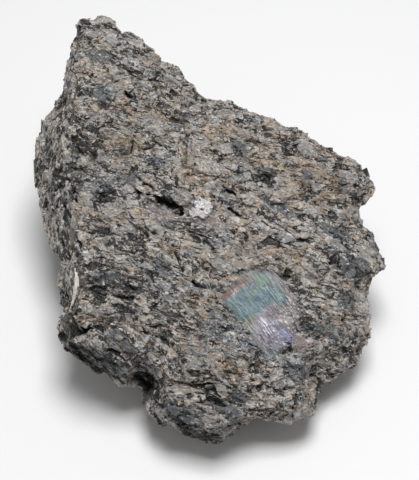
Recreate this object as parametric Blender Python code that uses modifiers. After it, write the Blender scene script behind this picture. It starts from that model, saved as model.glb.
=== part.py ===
"""A rough chunk of labradorite rock, resting on its flat underside.

The chunk is one broken piece. Its outline and the relief of its broad upper face are set out
in a sight frame: u to the right, v up the face and n straight off it, toward someone who looks
down on the stone at SIGHT_ELEVATION. The last steps turn that shape into the frame it rests
in, with +Z up and the origin at the bottom centre of its box.
"""

import math

import bmesh
import bpy
import numpy as np

MM = 0.001

# Driving dimensions, in millimetres and degrees
SIGHT_ELEVATION = 52.0
FACE_HEIGHT = 26.3
FACE_TILT = 16.0
FACE_ROLL = 7.0
FACE_BULGE = 2.6
RIM_THICKNESS = 1.0
RIM_GROWTH = 0.2
CUT_DEPTH = 4.0
TRIANGLES_BEFORE_CUT = 11600
SLAB_HALF_THICKNESS = 1.4
SLAB_VOXEL = 0.8
SURFACE_VOXEL = 0.75

# The outline of the chunk, stretch by stretch and clockwise from the peak. For each stretch:
# how far its rim lies below the broad face, how wide the shoulder is that leads down to it,
# how far the wall under it falls for each millimetre inward, and the corners (u, v).
OUTLINE = {
    "peak": (2.0, 3.0, 1.9, [
        (-29.5, 52.5), (-28.0, 51.5), (-26.5, 53.0), (-25.5, 53.5), (-23.5, 52.5),
        (-21.5, 51.5), (-20.5, 49.0), (-19.0, 49.0), (-17.5, 48.0)]),
    "back": (1.0, 2.0, 2.1, [
        (-15.0, 45.5), (-12.5, 43.5), (-11.0, 41.0), (-7.5, 39.0), (-3.5, 34.0), (-1.0, 32.5),
        (2.5, 32.0), (5.5, 31.0), (9.5, 29.5), (12.5, 28.0), (13.5, 28.0), (16.0, 26.0),
        (21.0, 24.0), (25.0, 22.0), (28.5, 20.5), (31.5, 18.5), (33.5, 17.5)]),
    "spike": (2.0, 3.0, 1.7, [(34.5, 15.5), (37.5, 11.0), (37.0, 10.0), (34.0, 8.0)]),
    "right": (3.0, 3.0, 2.2, [
        (33.5, 7.0), (34.0, 4.0), (37.0, 1.0), (38.0, -2.0), (39.0, -6.0), (38.5, -7.0),
        (35.5, -9.0)]),
    "right foot": (4.0, 6.0, 3.0, [(35.0, -11.0), (35.0, -13.5), (35.5, -17.0), (35.5, -20.5)]),
    "corner": (7.0, 9.0, 3.0, [(34.0, -24.5), (31.0, -28.0), (25.5, -31.0), (24.0, -31.5)]),
    "notch": (5.0, 4.0, 3.6, [(23.0, -34.0), (22.0, -35.5), (22.5, -37.0)]),
    "front lip": (4.0, 3.0, 5.0, [
        (19.5, -38.0), (16.0, -38.5), (14.5, -38.0), (11.0, -38.0), (7.0, -39.0)]),
    "tip": (8.0, 5.0, 2.4, [
        (4.5, -41.5), (3.0, -44.0), (-1.5, -42.5), (-4.5, -41.0), (-9.0, -39.5),
        (-12.5, -37.5)]),
    "recess": (12.0, 6.5, 2.0, [(-14.0, -34.5), (-15.0, -30.5)]),
    "lip underside": (9.0, 5.0, 1.6, [
        (-18.5, -31.0), (-22.0, -28.0), (-24.0, -28.5), (-27.0, -26.5), (-31.5, -22.5)]),
    "lip end": (4.0, 3.0, 1.6, [(-32.5, -19.0), (-32.0, -18.0), (-30.0, -17.0)]),
    "left foot": (8.0, 5.5, 3.0, [
        (-31.5, -16.5), (-32.5, -12.5), (-33.0, -7.5), (-33.0, -4.5)]),
    "left side": (12.0, 8.0, 3.4, [
        (-35.5, -1.5), (-37.0, 4.0), (-38.5, 11.5), (-39.5, 12.5), (-40.0, 18.0),
        (-39.5, 19.5), (-40.0, 23.5)]),
    "left shoulder": (9.0, 5.5, 3.2, [(-38.5, 27.0), (-36.0, 30.5), (-35.0, 32.5)]),
    "peak side": (5.0, 3.0, 3.0, [(-34.0, 34.5), (-33.0, 39.5), (-33.0, 45.5), (-32.5, 46.5)]),
    "peak spike": (3.0, 2.0, 2.4, [(-31.0, 47.5), (-31.0, 50.0)]),
}

# Broken layers: start, end, how high the side to the left of that line stands, and how far
# the raised side takes to run back into the face
LEDGES = [
    ((-20.0, 13.5), (-5.5, 5.5), 2.2, 10.0),
    ((16.5, 10.0), (34.0, 8.5), 1.4, 6.0),
    ((29.0, -8.0), (38.5, -7.5), 1.2, 5.0),
    ((-1.0, -29.5), (23.5, -31.0), 1.4, 6.0),
    ((-9.5, -22.5), (1.5, -21.5), 1.0, 5.0),
    ((1.5, -21.5), (12.0, -26.0), 1.0, 5.0),
    ((-9.0, -18.5), (-32.5, -16.8), 2.2, 8.0),
    ((-21.0, 22.0), (-6.0, 17.5), 1.0, 7.0),
    ((2.0, 20.5), (20.0, 17.0), 0.9, 6.0),
    ((-30.0, 35.0), (-8.0, 31.5), 0.9, 7.0),
    ((-24.0, -6.0), (-8.5, -9.0), 0.8, 6.0),
]

# Clefts and cracks: start, end, half the width and the depth
CLEFTS = [
    ((-17.5, 12.0), (-9.0, 8.0), 0.6, 1.2),
    ((-10.5, 8.6), (-5.8, 5.8), 0.8, 2.2),
    ((-15.5, 3.5), (-11.0, 1.0), 0.8, 1.2),
    ((4.5, 6.5), (8.0, 4.0), 0.8, 1.2),
    ((11.5, 4.0), (15.0, 2.0), 0.7, 0.9),
    ((16.5, 10.5), (19.5, 9.5), 0.7, 0.9),
    ((2.0, 12.5), (6.0, 9.0), 1.0, 1.5),
    ((-7.5, -2.0), (-5.5, -6.0), 0.9, 1.3),
    ((19.0, 0.0), (23.0, 0.0), 0.9, 1.3),
    ((26.5, -5.0), (29.0, -5.0), 0.7, 0.9),
    ((-3.0, -31.0), (1.0, -32.0), 0.9, 1.3),
    ((-0.5, -32.5), (3.0, -33.5), 0.9, 1.3),
    ((7.0, -29.0), (10.5, -26.0), 1.0, 1.5),
    ((10.0, -24.5), (12.5, -28.5), 0.9, 1.3),
    ((3.5, -26.0), (5.5, -28.0), 1.0, 1.5),
    ((-19.5, 34.0), (-17.5, 32.0), 0.8, 1.1),
    ((-29.5, -19.0), (-23.5, -19.5), 1.1, 2.2),
    ((-33.5, 15.0), (-31.5, 9.0), 1.1, 1.8),
    ((15.5, -7.5), (18.0, -8.5), 0.8, 1.0),
]

# Places where a crystal has dropped out, or stands proud: centre, radius and height
SPOTS = [
    ((12.5, 14.0), 1.8, -1.8),
    ((10.5, 14.5), 1.3, -1.5),
    ((-23.5, 9.5), 1.6, -1.5),
    ((-29.5, 49.0), 1.2, -1.3),
    ((-30.0, 46.5), 1.1, -1.2),
    ((-30.0, 21.0), 2.2, -1.7),
    ((-12.5, -30.5), 3.4, -3.0),
    ((4.0, -26.5), 1.6, -1.3),
    ((-28.0, 15.0), 1.7, -1.3),
    ((-26.0, 19.0), 1.7, -1.3),
    ((19.0, -22.0), 2.4, 1.4),
    ((21.5, -17.5), 3.2, 1.3),
    ((-12.0, 4.0), 6.0, -0.9),
    ((-24.0, 43.0), 5.0, 0.8),
    ((25.0, 13.0), 6.0, 0.7),
]

# Flat cleavage faces: how far each stands off the broad face, and its corners
PLATES = {
    "flash": (0.3, [
        (8.0, -8.0), (15.0, -7.5), (19.5, -13.0), (17.5, -21.5), (12.5, -25.0), (8.0, -18.5),
        (4.0, -13.0)]),
    "grey plate": (-0.8, [(-18.5, 5.5), (-12.5, 7.5), (-7.5, 5.0), (-8.0, 1.5), (-15.0, 0.5)]),
    "white cleavage": (0.4, [(-4.5, 9.5), (0.0, 9.0), (0.5, 5.5), (-3.0, 4.0)]),
    "right cleavage": (0.5, [(29.5, -3.0), (36.0, -3.5), (38.0, -6.5), (30.5, -7.0)]),
    "upper right cleavage": (0.3, [(24.5, 3.5), (30.0, 3.0), (31.0, -0.5), (25.5, 0.0)]),
    "peak cleavage": (0.2, [(-29.5, 45.5), (-23.0, 45.5), (-22.5, 41.5), (-29.0, 41.0)]),
    "front cleavage": (0.3, [(11.0, -33.0), (13.5, -31.5), (15.5, -33.0), (13.0, -35.0)]),
}

# Crystals: the seed of each size, its spacing along the grain, across it and through the
# layers, and how far its faces stand in and out
CRYSTALS = [
    (11, (7.5, 4.5, 3.0), 0.6),
    (12, (3.8, 2.4, 1.8), 0.26),
]
GRAIN_DIRECTION = (0.94, -0.34, 0.0)
BLOCKS = (13, (19.0, 15.0, 12.0), 2.6)


def clear_objects():
    """Remove what the file starts with."""
    for old in list(bpy.data.objects):
        bpy.data.objects.remove(old, do_unlink=True)


def corners():
    """The outline's corners with the drop, shoulder and wall of their stretch."""
    rows = []
    for drop, shoulder, wall, points in OUTLINE.values():
        rows += [(u, v, drop, shoulder, wall) for u, v in points]
    return np.array(rows)


def line_distance(spots, start, end):
    """How far spots lie from a line, which side of it they are on, and how far along it."""
    start = np.array(start, float)
    run = np.array(end, float) - start
    offset = spots - start
    along = (offset @ run) / (run @ run)
    nearest = np.clip(along, 0.0, 1.0)
    distance = np.linalg.norm(offset - nearest[:, None] * run, axis=1)
    side = (run[0] * offset[:, 1] - run[1] * offset[:, 0]) / math.hypot(*run)
    return distance, side, along


def rim_values(spots):
    """The distance to the outline, and the drop, shoulder and wall that hold near there."""
    rows = corners()
    closest = np.full(len(spots), np.inf)
    weights = np.zeros(len(spots))
    values = np.zeros((len(spots), 3))
    for here, there in zip(rows, np.roll(rows, -1, axis=0)):
        distance, _, along = line_distance(spots, here[:2], there[:2])
        share = np.clip(along, 0.0, 1.0)[:, None]
        weight = math.dist(here[:2], there[:2]) / (distance ** 2 + 0.6) ** 2
        values += weight[:, None] * ((1.0 - share) * here[2:] + share * there[2:])
        weights += weight
        closest = np.minimum(closest, distance)
    values /= weights[:, None]
    return closest, values[:, 0], values[:, 1], values[:, 2]


def inside(spots, ring):
    """True for the spots that lie in a ring of corners."""
    result = np.zeros(len(spots), bool)
    for (u0, v0), (u1, v1) in zip(ring, ring[1:] + ring[:1]):
        if v0 == v1:
            continue
        crosses = (spots[:, 1] < v0) != (spots[:, 1] < v1)
        edge = u0 + (spots[:, 1] - v0) * (u1 - u0) / (v1 - v0)
        result ^= crosses & (spots[:, 0] < edge)
    return result


def face_plane(spots):
    """The height of the flat plane that the broad face follows."""
    elevation = math.radians(SIGHT_ELEVATION)
    tilt = math.radians(FACE_TILT)
    lean = math.sin(math.radians(FACE_ROLL))
    across = lean / math.sin(elevation + tilt)
    up = 1.0 / math.tan(elevation + tilt)
    return -across * spots[:, 0] - up * spots[:, 1]


def ends_taper(along):
    """Full along the middle of a line, fading out at both ends."""
    return np.clip(4.0 * along, 0.0, 1.0) * np.clip(4.0 * (1.0 - along), 0.0, 1.0)


def relief(spots):
    """The ledges, clefts, pits and knobs of the broad face."""
    height = np.zeros(len(spots))
    for start, end, rise, run in LEDGES:
        _, side, along = line_distance(spots, start, end)
        step = np.clip(1.0 + side / 0.6, 0.0, 1.0) * np.clip(1.0 - side / run, 0.0, 1.0)
        height += rise * step * ends_taper(along)
    for start, end, half_width, depth in CLEFTS:
        distance, _, _ = line_distance(spots, start, end)
        height -= depth * np.clip(1.4 - distance / half_width, 0.0, 1.0)
    for centre, radius, rise in SPOTS:
        distance = np.linalg.norm(spots - np.array(centre), axis=1)
        height += rise * np.clip(1.5 - 1.5 * distance / radius, 0.0, 1.0)
    return height


def front_sheet(spots, rim):
    """The height of the upper surface."""
    distance, drop, shoulder, _ = rim
    bulge = 1.0 - 0.8 * (spots[:, 0] / 40.0) ** 2 - ((spots[:, 1] - 3.0) / 48.0) ** 2
    fall = drop * np.clip(1.0 - distance / shoulder, 0.0, 1.0)
    base = face_plane(spots) + FACE_BULGE * bulge
    height = relief(spots)
    for rise, ring in PLATES.values():
        height = np.where(inside(spots, ring), rise, height)
    return base - fall + height


def back_sheet(spots, rim):
    """The height of the walls and the underside."""
    elevation = math.radians(SIGHT_ELEVATION)
    distance, drop, _, wall = rim
    walls = face_plane(spots) - drop - RIM_THICKNESS - distance * wall
    floor = -(FACE_HEIGHT + CUT_DEPTH + spots[:, 1] * math.cos(elevation)) / math.sin(elevation)
    return np.maximum(walls, floor)


def lattice_random(cells, seed):
    """Six repeatable random numbers from 0 to 1 for each cell of a lattice."""
    mixed = cells.astype(np.int64) @ np.array([73856093, 19349663, 83492791]) + seed * 2654435761
    numbers = []
    for turn in range(6):
        mixed = (mixed ^ (mixed >> 15)) * 2246822519 & 0xFFFFFFFF
        mixed = (mixed ^ (mixed >> 13)) * 3266489917 & 0xFFFFFFFF
        mixed = (mixed ^ (mixed >> 16)) + turn * 668265263
        numbers.append((mixed & 0xFFFFFF) / 0x1000000)
    return np.stack(numbers, axis=-1)


def grain_axes():
    """Unit vectors along the grain, across it and through the layers."""
    along = np.array(GRAIN_DIRECTION)
    along /= np.linalg.norm(along)
    layer = np.array([0.126, 0.377, 0.974])
    layer -= along * (layer @ along)
    layer /= np.linalg.norm(layer)
    across = np.cross(layer, along)
    return np.array([along, across, layer])


def crystal_faces(points, seed, spacing):
    """A height from -1 to 1 that is flat across each crystal and steps at its borders."""
    space = points @ grain_axes().T / np.array(spacing)
    home = np.floor(space)
    best = np.full(len(points), np.inf)
    height = np.zeros(len(points))
    for i in (-1, 0, 1):
        for j in (-1, 0, 1):
            for k in (-1, 0, 1):
                cell = home + (i, j, k)
                chance = lattice_random(cell, seed)
                offset = space - cell - chance[:, :3]
                distance = (offset ** 2).sum(axis=1)
                nearer = distance < best
                tilt = (chance[:, 3:] - 0.5) * 2.0
                here = (chance[:, 3] - 0.5) * 1.2 + (tilt * offset).sum(axis=1) * 1.1
                height = np.where(nearer, here, height)
                best = np.where(nearer, distance, best)
    return np.clip(height, -1.0, 1.0)


def to_object(name, mesh):
    """A mesh as an object in the stone's collection."""
    stone = bpy.data.objects.new(name, mesh)
    bpy.data.collections["labradorite_chunk"].objects.link(stone)
    return stone


def evaluated_copy(source):
    """A new mesh with the object's modifiers in it; the object is removed."""
    graph = bpy.context.evaluated_depsgraph_get()
    mesh = bpy.data.meshes.new_from_object(source.evaluated_get(graph))
    bpy.data.objects.remove(source, do_unlink=True)
    return mesh


def outline_slab():
    """A flat slab with the chunk's outline."""
    curve = bpy.data.curves.new("outline", "CURVE")
    curve.dimensions = "2D"
    curve.fill_mode = "BOTH"
    curve.extrude = SLAB_HALF_THICKNESS * MM
    curve.offset = RIM_GROWTH * MM
    rows = corners()
    spline = curve.splines.new("POLY")
    spline.points.add(len(rows) - 1)
    spline.use_cyclic_u = True
    for point, row in zip(spline.points, rows):
        point.co = (row[0] * MM, row[1] * MM, 0.0, 1.0)
    mesh = evaluated_copy(to_object("outline", curve))
    shape = bmesh.new()
    shape.from_mesh(mesh)
    bmesh.ops.remove_doubles(shape, verts=shape.verts, dist=0.00001)
    shape.to_mesh(mesh)
    shape.free()
    return mesh


def remeshed(mesh, voxel):
    """The same surface with even faces of the given size."""
    source = to_object("remeshed", mesh)
    remesh = source.modifiers.new("Even faces", "REMESH")
    remesh.mode = "VOXEL"
    remesh.voxel_size = voxel * MM
    return evaluated_copy(source)


def read_points(mesh):
    """The mesh's points in millimetres."""
    flat = np.empty(len(mesh.vertices) * 3)
    mesh.vertices.foreach_get("co", flat)
    return flat.reshape(-1, 3) / MM


def write_points(mesh, points):
    """Move the mesh's points to places given in millimetres."""
    mesh.vertices.foreach_set("co", (points * MM).ravel())
    mesh.update()


def point_normals(mesh):
    """The direction that each point of the mesh faces."""
    flat = np.empty(len(mesh.vertices) * 3)
    mesh.vertex_normals.foreach_get("vector", flat)
    return flat.reshape(-1, 3)


def inflate(mesh):
    """Spread a slab's two sides onto the upper surface and the underside."""
    points = read_points(mesh)
    spots = points[:, :2]
    rim = rim_values(spots)
    front = front_sheet(spots, rim)
    back = back_sheet(spots, rim)
    share = np.clip(points[:, 2] / (0.9 * SLAB_HALF_THICKNESS), -1.0, 1.0) * 0.5 + 0.5
    points[:, 2] = back + (front - back) * share
    write_points(mesh, points)


def break_surface(mesh):
    """Break the walls into large blocks and the whole surface into crystals."""
    points = read_points(mesh)
    normals = point_normals(mesh)
    spots = points[:, :2]
    rim = rim_values(spots)
    below_rim = face_plane(spots) - rim[1] - points[:, 2]
    seed, spacing, rise = BLOCKS
    depth_share = np.clip((below_rim - 2.0) / 10.0, 0.0, 1.0)
    height = rise * depth_share * crystal_faces(points, seed, spacing)
    smooth = np.zeros(len(spots), bool)
    for _, ring in PLATES.values():
        smooth |= inside(spots, ring) & (below_rim < 0.0)
    for seed, spacing, rise in CRYSTALS:
        height += np.where(smooth, 0.0, rise) * crystal_faces(points, seed, spacing)
    write_points(mesh, points + normals * height[:, None])


def thin_out(mesh, triangles):
    """Fewer triangles, kept where the surface bends most."""
    source = to_object("thinned", mesh)
    mesh.calc_loop_triangles()
    thin = source.modifiers.new("Fewer faces", "DECIMATE")
    thin.ratio = triangles / len(mesh.loop_triangles)
    thin.use_collapse_triangulate = True
    return evaluated_copy(source)


def stand_up(mesh):
    """Turn the shape from the sight frame to the frame in which the stone rests."""
    elevation = math.radians(SIGHT_ELEVATION)
    sine = math.sin(elevation)
    cosine = math.cos(elevation)
    points = read_points(mesh)
    u, v, n = points.T
    y = sine * v - cosine * n
    z = FACE_HEIGHT + cosine * v + sine * n
    write_points(mesh, np.stack([u, y, z], axis=1))


def loose_pieces(shape):
    """The points of each connected piece, the largest piece first."""
    waiting = set(shape.verts)
    pieces = []
    while waiting:
        piece = set()
        edge_of_search = [waiting.pop()]
        while edge_of_search:
            vert = edge_of_search.pop()
            piece.add(vert)
            for edge in vert.link_edges:
                other = edge.other_vert(vert)
                if other in waiting:
                    waiting.remove(other)
                    edge_of_search.append(other)
        pieces.append(piece)
    return sorted(pieces, key=len, reverse=True)


def cut_base(mesh):
    """Cut the underside flat where the stone rests, and drop crumbs that broke loose."""
    shape = bmesh.new()
    shape.from_mesh(mesh)
    everything = shape.verts[:] + shape.edges[:] + shape.faces[:]
    bmesh.ops.bisect_plane(
        shape, geom=everything, dist=0.000001, plane_co=(0.0, 0.0, 0.0),
        plane_no=(0.0, 0.0, 1.0), clear_inner=True)
    for crumb in loose_pieces(shape)[1:]:
        bmesh.ops.delete(shape, geom=list(crumb), context="VERTS")
    rim = [edge for edge in shape.edges if edge.is_boundary]
    bmesh.ops.contextual_create(shape, geom=rim)
    bmesh.ops.triangulate(shape, faces=shape.faces[:])
    bmesh.ops.recalc_face_normals(shape, faces=shape.faces[:])
    shape.to_mesh(mesh)
    shape.free()


def centre(mesh):
    """Put the origin at the bottom centre of the stone's box."""
    points = read_points(mesh)
    middle = (points.min(axis=0) + points.max(axis=0)) / 2.0
    middle[2] = 0.0
    write_points(mesh, points - middle)


def stone_material():
    """Dull grey rock with a slight warm cast."""
    material = bpy.data.materials.new("Rough labradorite")
    material.use_nodes = True
    shader = material.node_tree.nodes["Principled BSDF"]
    shader.inputs["Base Color"].default_value = (0.19, 0.175, 0.16, 1.0)
    shader.inputs["Roughness"].default_value = 0.6
    shader.inputs["Metallic"].default_value = 0.0
    return material


def build():
    """Make the chunk."""
    clear_objects()
    home = bpy.data.collections.new("labradorite_chunk")
    bpy.context.scene.collection.children.link(home)
    mesh = remeshed(outline_slab(), SLAB_VOXEL)
    inflate(mesh)
    mesh = remeshed(mesh, SURFACE_VOXEL)
    break_surface(mesh)
    mesh = thin_out(mesh, TRIANGLES_BEFORE_CUT)
    stand_up(mesh)
    cut_base(mesh)
    centre(mesh)
    mesh.name = "labradorite_chunk"
    mesh.materials.clear()
    mesh.materials.append(stone_material())
    to_object("labradorite_chunk", mesh)


build()
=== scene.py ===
"""Dresses the rough labradorite chunk: its crystals, cracks, weathering and flash."""

import itertools
import math

import bmesh
import bpy
import numpy as np
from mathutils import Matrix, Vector
from mathutils.bvhtree import BVHTree


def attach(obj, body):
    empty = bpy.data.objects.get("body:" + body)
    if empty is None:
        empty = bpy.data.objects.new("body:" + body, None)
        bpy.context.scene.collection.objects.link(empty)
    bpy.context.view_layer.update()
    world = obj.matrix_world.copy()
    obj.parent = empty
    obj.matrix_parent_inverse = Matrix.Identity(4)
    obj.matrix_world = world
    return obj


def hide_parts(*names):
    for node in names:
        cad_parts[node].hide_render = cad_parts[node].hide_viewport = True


bl_info = {
    "name": "Rough labradorite chunk",
    "version": (1, 0, 0),
    "blender": (4, 5, 0),
    "location": "3D View > Sidebar > Labradorite",
    "description": "Builds the crystals, weathering and flash of a rough labradorite chunk",
    "category": "Object",
}

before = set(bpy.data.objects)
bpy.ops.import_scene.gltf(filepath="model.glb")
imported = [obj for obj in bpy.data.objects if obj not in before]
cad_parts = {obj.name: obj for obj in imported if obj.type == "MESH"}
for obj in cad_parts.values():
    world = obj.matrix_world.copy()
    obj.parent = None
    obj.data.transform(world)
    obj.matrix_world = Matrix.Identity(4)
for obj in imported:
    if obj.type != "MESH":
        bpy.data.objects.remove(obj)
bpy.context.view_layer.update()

NODE = "labradorite_chunk"
MM = 0.001

# The line of sight that the broad face is laid out in: u to the right, v up the face and n
# straight off it. Millimetres and degrees, in the frame of the solid. ABOVE_ALL is a height n
# above the whole rock.
SIGHT_ELEVATION = 52.0
SIGHT_ORIGIN = (0.54, -8.79, 26.3)
ABOVE_ALL = 60.0

# How the layers of the rock lie in the sight frame
GRAIN_DIRECTION = (0.94, -0.34, 0.0)
LAYER_DIRECTION = (0.126, 0.377, 0.974)

# Where the grain turns away from its usual direction: the turn in degrees and corners (u, v)
GRAIN_TURNS = {
    "left side": (-60.0, [(-45.0, 33.0), (-31.0, 33.0), (-31.5, 20.0), (-29.5, 8.0), (-28.0, -4.0),
                          (-29.0, -16.5), (-36.0, -16.5), (-45.0, 0.0)]),
    "peak side": (105.0, [(-36.0, 60.0), (-30.5, 60.0), (-30.5, 33.0), (-38.0, 33.0)]),
    "upper right": (14.0, [(-6.0, 36.0), (45.0, 36.0), (45.0, 8.0), (16.0, 9.5), (-6.0, 16.0)]),
    "lip": (-28.0, [(-40.0, -17.0), (-9.0, -18.5), (-5.0, -29.0), (-18.0, -36.0), (-40.0, -26.0)]),
    "front lobe": (10.0, [(-16.0, -30.0), (26.0, -30.5), (26.0, -50.0), (-16.0, -50.0)]),
}

# How the drawn shapes wander, each with the size of the bumps, their reach and a seed for each
# direction: the edges of the zones of grain, of crystals and of patches, and the edges, the
# bends and the width of clefts
ZONE_WANDER = (4.0, 1.6, 31, 32)
BORDER_WANDER = (1.3, 0.30, 41, 42, 43)
PATCH_WANDER = (1.5, 0.5, 44, 45)
CLEFT_RAGGED = (0.9, 0.225, 46, 47)
CLEFT_BEND = (3.0, 0.4, 48, 49)
CLEFT_PINCH = (1.1, 0.9, 50)

# Crystals of each size in the rock itself: a seed, their spacing along the grain, across it
# and through the layers, and how far their faces stand in and out
LEDGES = (24, (9.0, 5.5, 3.2), 0.50)
COARSE = (21, (4.4, 2.9, 2.2), 0.56)
MEDIUM = (22, (1.7, 1.0, 0.8), 0.18)
FINE = (23, (0.9, 0.5, 0.45), 0.08)

# How much the faces of crystals differ in height and in tilt, and how far each crystal turns and
# leans. A coarse crystal whose chance lies above CALM_ABOVE is calm: it keeps only CALM_RELIEF
# of the finer relief.
FACE_RISE = 1.1
FACE_TILT = 1.3
CRYSTAL_TURN = 1.6
CRYSTAL_LEAN = 0.35
CALM_ABOVE = 0.66
CALM_RELIEF = 0.25

# Seams between coarse crystals: how near the border they lie, how deep they are, and the size
# and the seed of the bumps that open them here and there
SEAM_REACH = 0.07
SEAM_DEPTH = 0.30
SEAM_SPREAD = (2.2, 33)

# How much relief the flash face loses, how wide its edge is, and how high above the base the
# relief is full
FLASH_FLATNESS = 0.93
FLASH_EDGE = 3.0
REST_HEIGHT = 0.6

# How hollows, ridges and the facing are found, against a surface that has settled for some
# rounds, and how deep or high a full one is
HOLLOW_ROUNDS = 30
HOLLOW_DEPTH = 0.3
RIDGE_ROUNDS = 4
RIDGE_HEIGHT = 0.06
FACING_ROUNDS = 12

VOXEL = 0.27
TRIANGLES = 196000

# Crystals that are only coloured: their spacing along the grain, across it and through the layers
PLATES = (3.6, 2.1, 1.8)
GRAINS = (1.3, 0.70, 0.7)
SPECKS = (0.46, 0.28, 0.26)

# Swirls that bend the colouring: their size, their detail and their reach. HALF is their middle.
SWIRLS = [((3.2, 2.4, 2.4), 2.0, (3.0, 2.0, 1.6)), ((0.8, 0.6, 0.6), 3.0, (1.2, 0.8, 0.6))]
HALF = (0.5, 0.5, 0.5)

# Clefts and cracks: start, end, half the width at the start and at the end, and the depth
CLEFTS = [
    ((-19.5, 12.6), (-9.0, 8.0), 0.16, 0.34, 0.8), ((-13.0, 10.0), (-5.0, 5.6), 0.30, 1.15, 1.8),
    ((-15.5, 3.5), (-11.0, 1.0), 0.20, 0.34, 0.9), ((4.0, 7.0), (8.5, 3.8), 0.30, 0.24, 0.8),
    ((-4.8, 2.2), (1.4, 0.2), 0.30, 0.20, 0.6), ((11.5, 4.0), (15.0, 2.0), 0.2, 0.2, 0.7),
    ((16.5, 10.5), (19.5, 9.5), 0.2, 0.2, 0.7), ((1.6, 13.0), (6.0, 9.0), 0.25, 0.35, 0.8),
    ((-8.0, -1.6), (-5.2, -7.0), 0.22, 0.26, 0.9), ((-4.4, -8.4), (1.0, -11.0), 0.28, 0.2, 0.9),
    ((19.0, 0.0), (23.0, 0.0), 0.2, 0.3, 0.7), ((26.5, -5.0), (29.0, -5.0), 0.2, 0.2, 0.6),
    ((-17.0, 14.5), (-11.0, 10.8), 0.25, 0.22, 0.7),
    ((-19.6, 34.0), (-17.0, 31.6), 0.34, 0.26, 0.8), ((2.6, -26.8), (7.0, -28.9), 0.34, 0.50, 1.1),
    ((7.0, -30.2), (10.2, -29.2), 0.30, 0.24, 0.8), ((-4.4, -30.6), (1.0, -30.0), 0.24, 0.26, 0.8),
    ((-3.4, -33.6), (1.6, -33.4), 0.24, 0.28, 0.8), ((-0.2, -32.9), (3.2, -34.8), 0.34, 0.36, 1.0),
    ((-5.4, -31.8), (-0.4, -32.6), 0.20, 0.24, 0.7), ((5.6, -38.6), (7.6, -39.8), 0.50, 0.40, 1.0),
    ((-32.6, -20.4), (-24.6, -18.6), 0.55, 0.70, 1.2),
    ((-18.6, -9.2), (-14.6, -10.6), 0.34, 0.24, 0.7),
    ((-20.4, -12.0), (-15.4, -12.4), 0.30, 0.34, 0.8),
    ((-31.4, 15.0), (-28.8, 8.0), 0.45, 0.3, 1.0), ((-33.0, 10.0), (-30.6, 4.0), 0.25, 0.3, 0.8),
    ((15.5, -7.5), (18.0, -8.5), 0.3, 0.2, 0.7), ((-14.6, 23.8), (-8.8, 20.6), 0.25, 0.35, 0.8),
    ((-29.5, 2.0), (-27.5, -3.0), 0.2, 0.2, 0.6), ((-22.0, -22.0), (-17.0, -26.0), 0.3, 0.25, 0.7),
    ((-14.5, -19.0), (-8.0, -20.6), 0.25, 0.2, 0.6),
]

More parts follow.
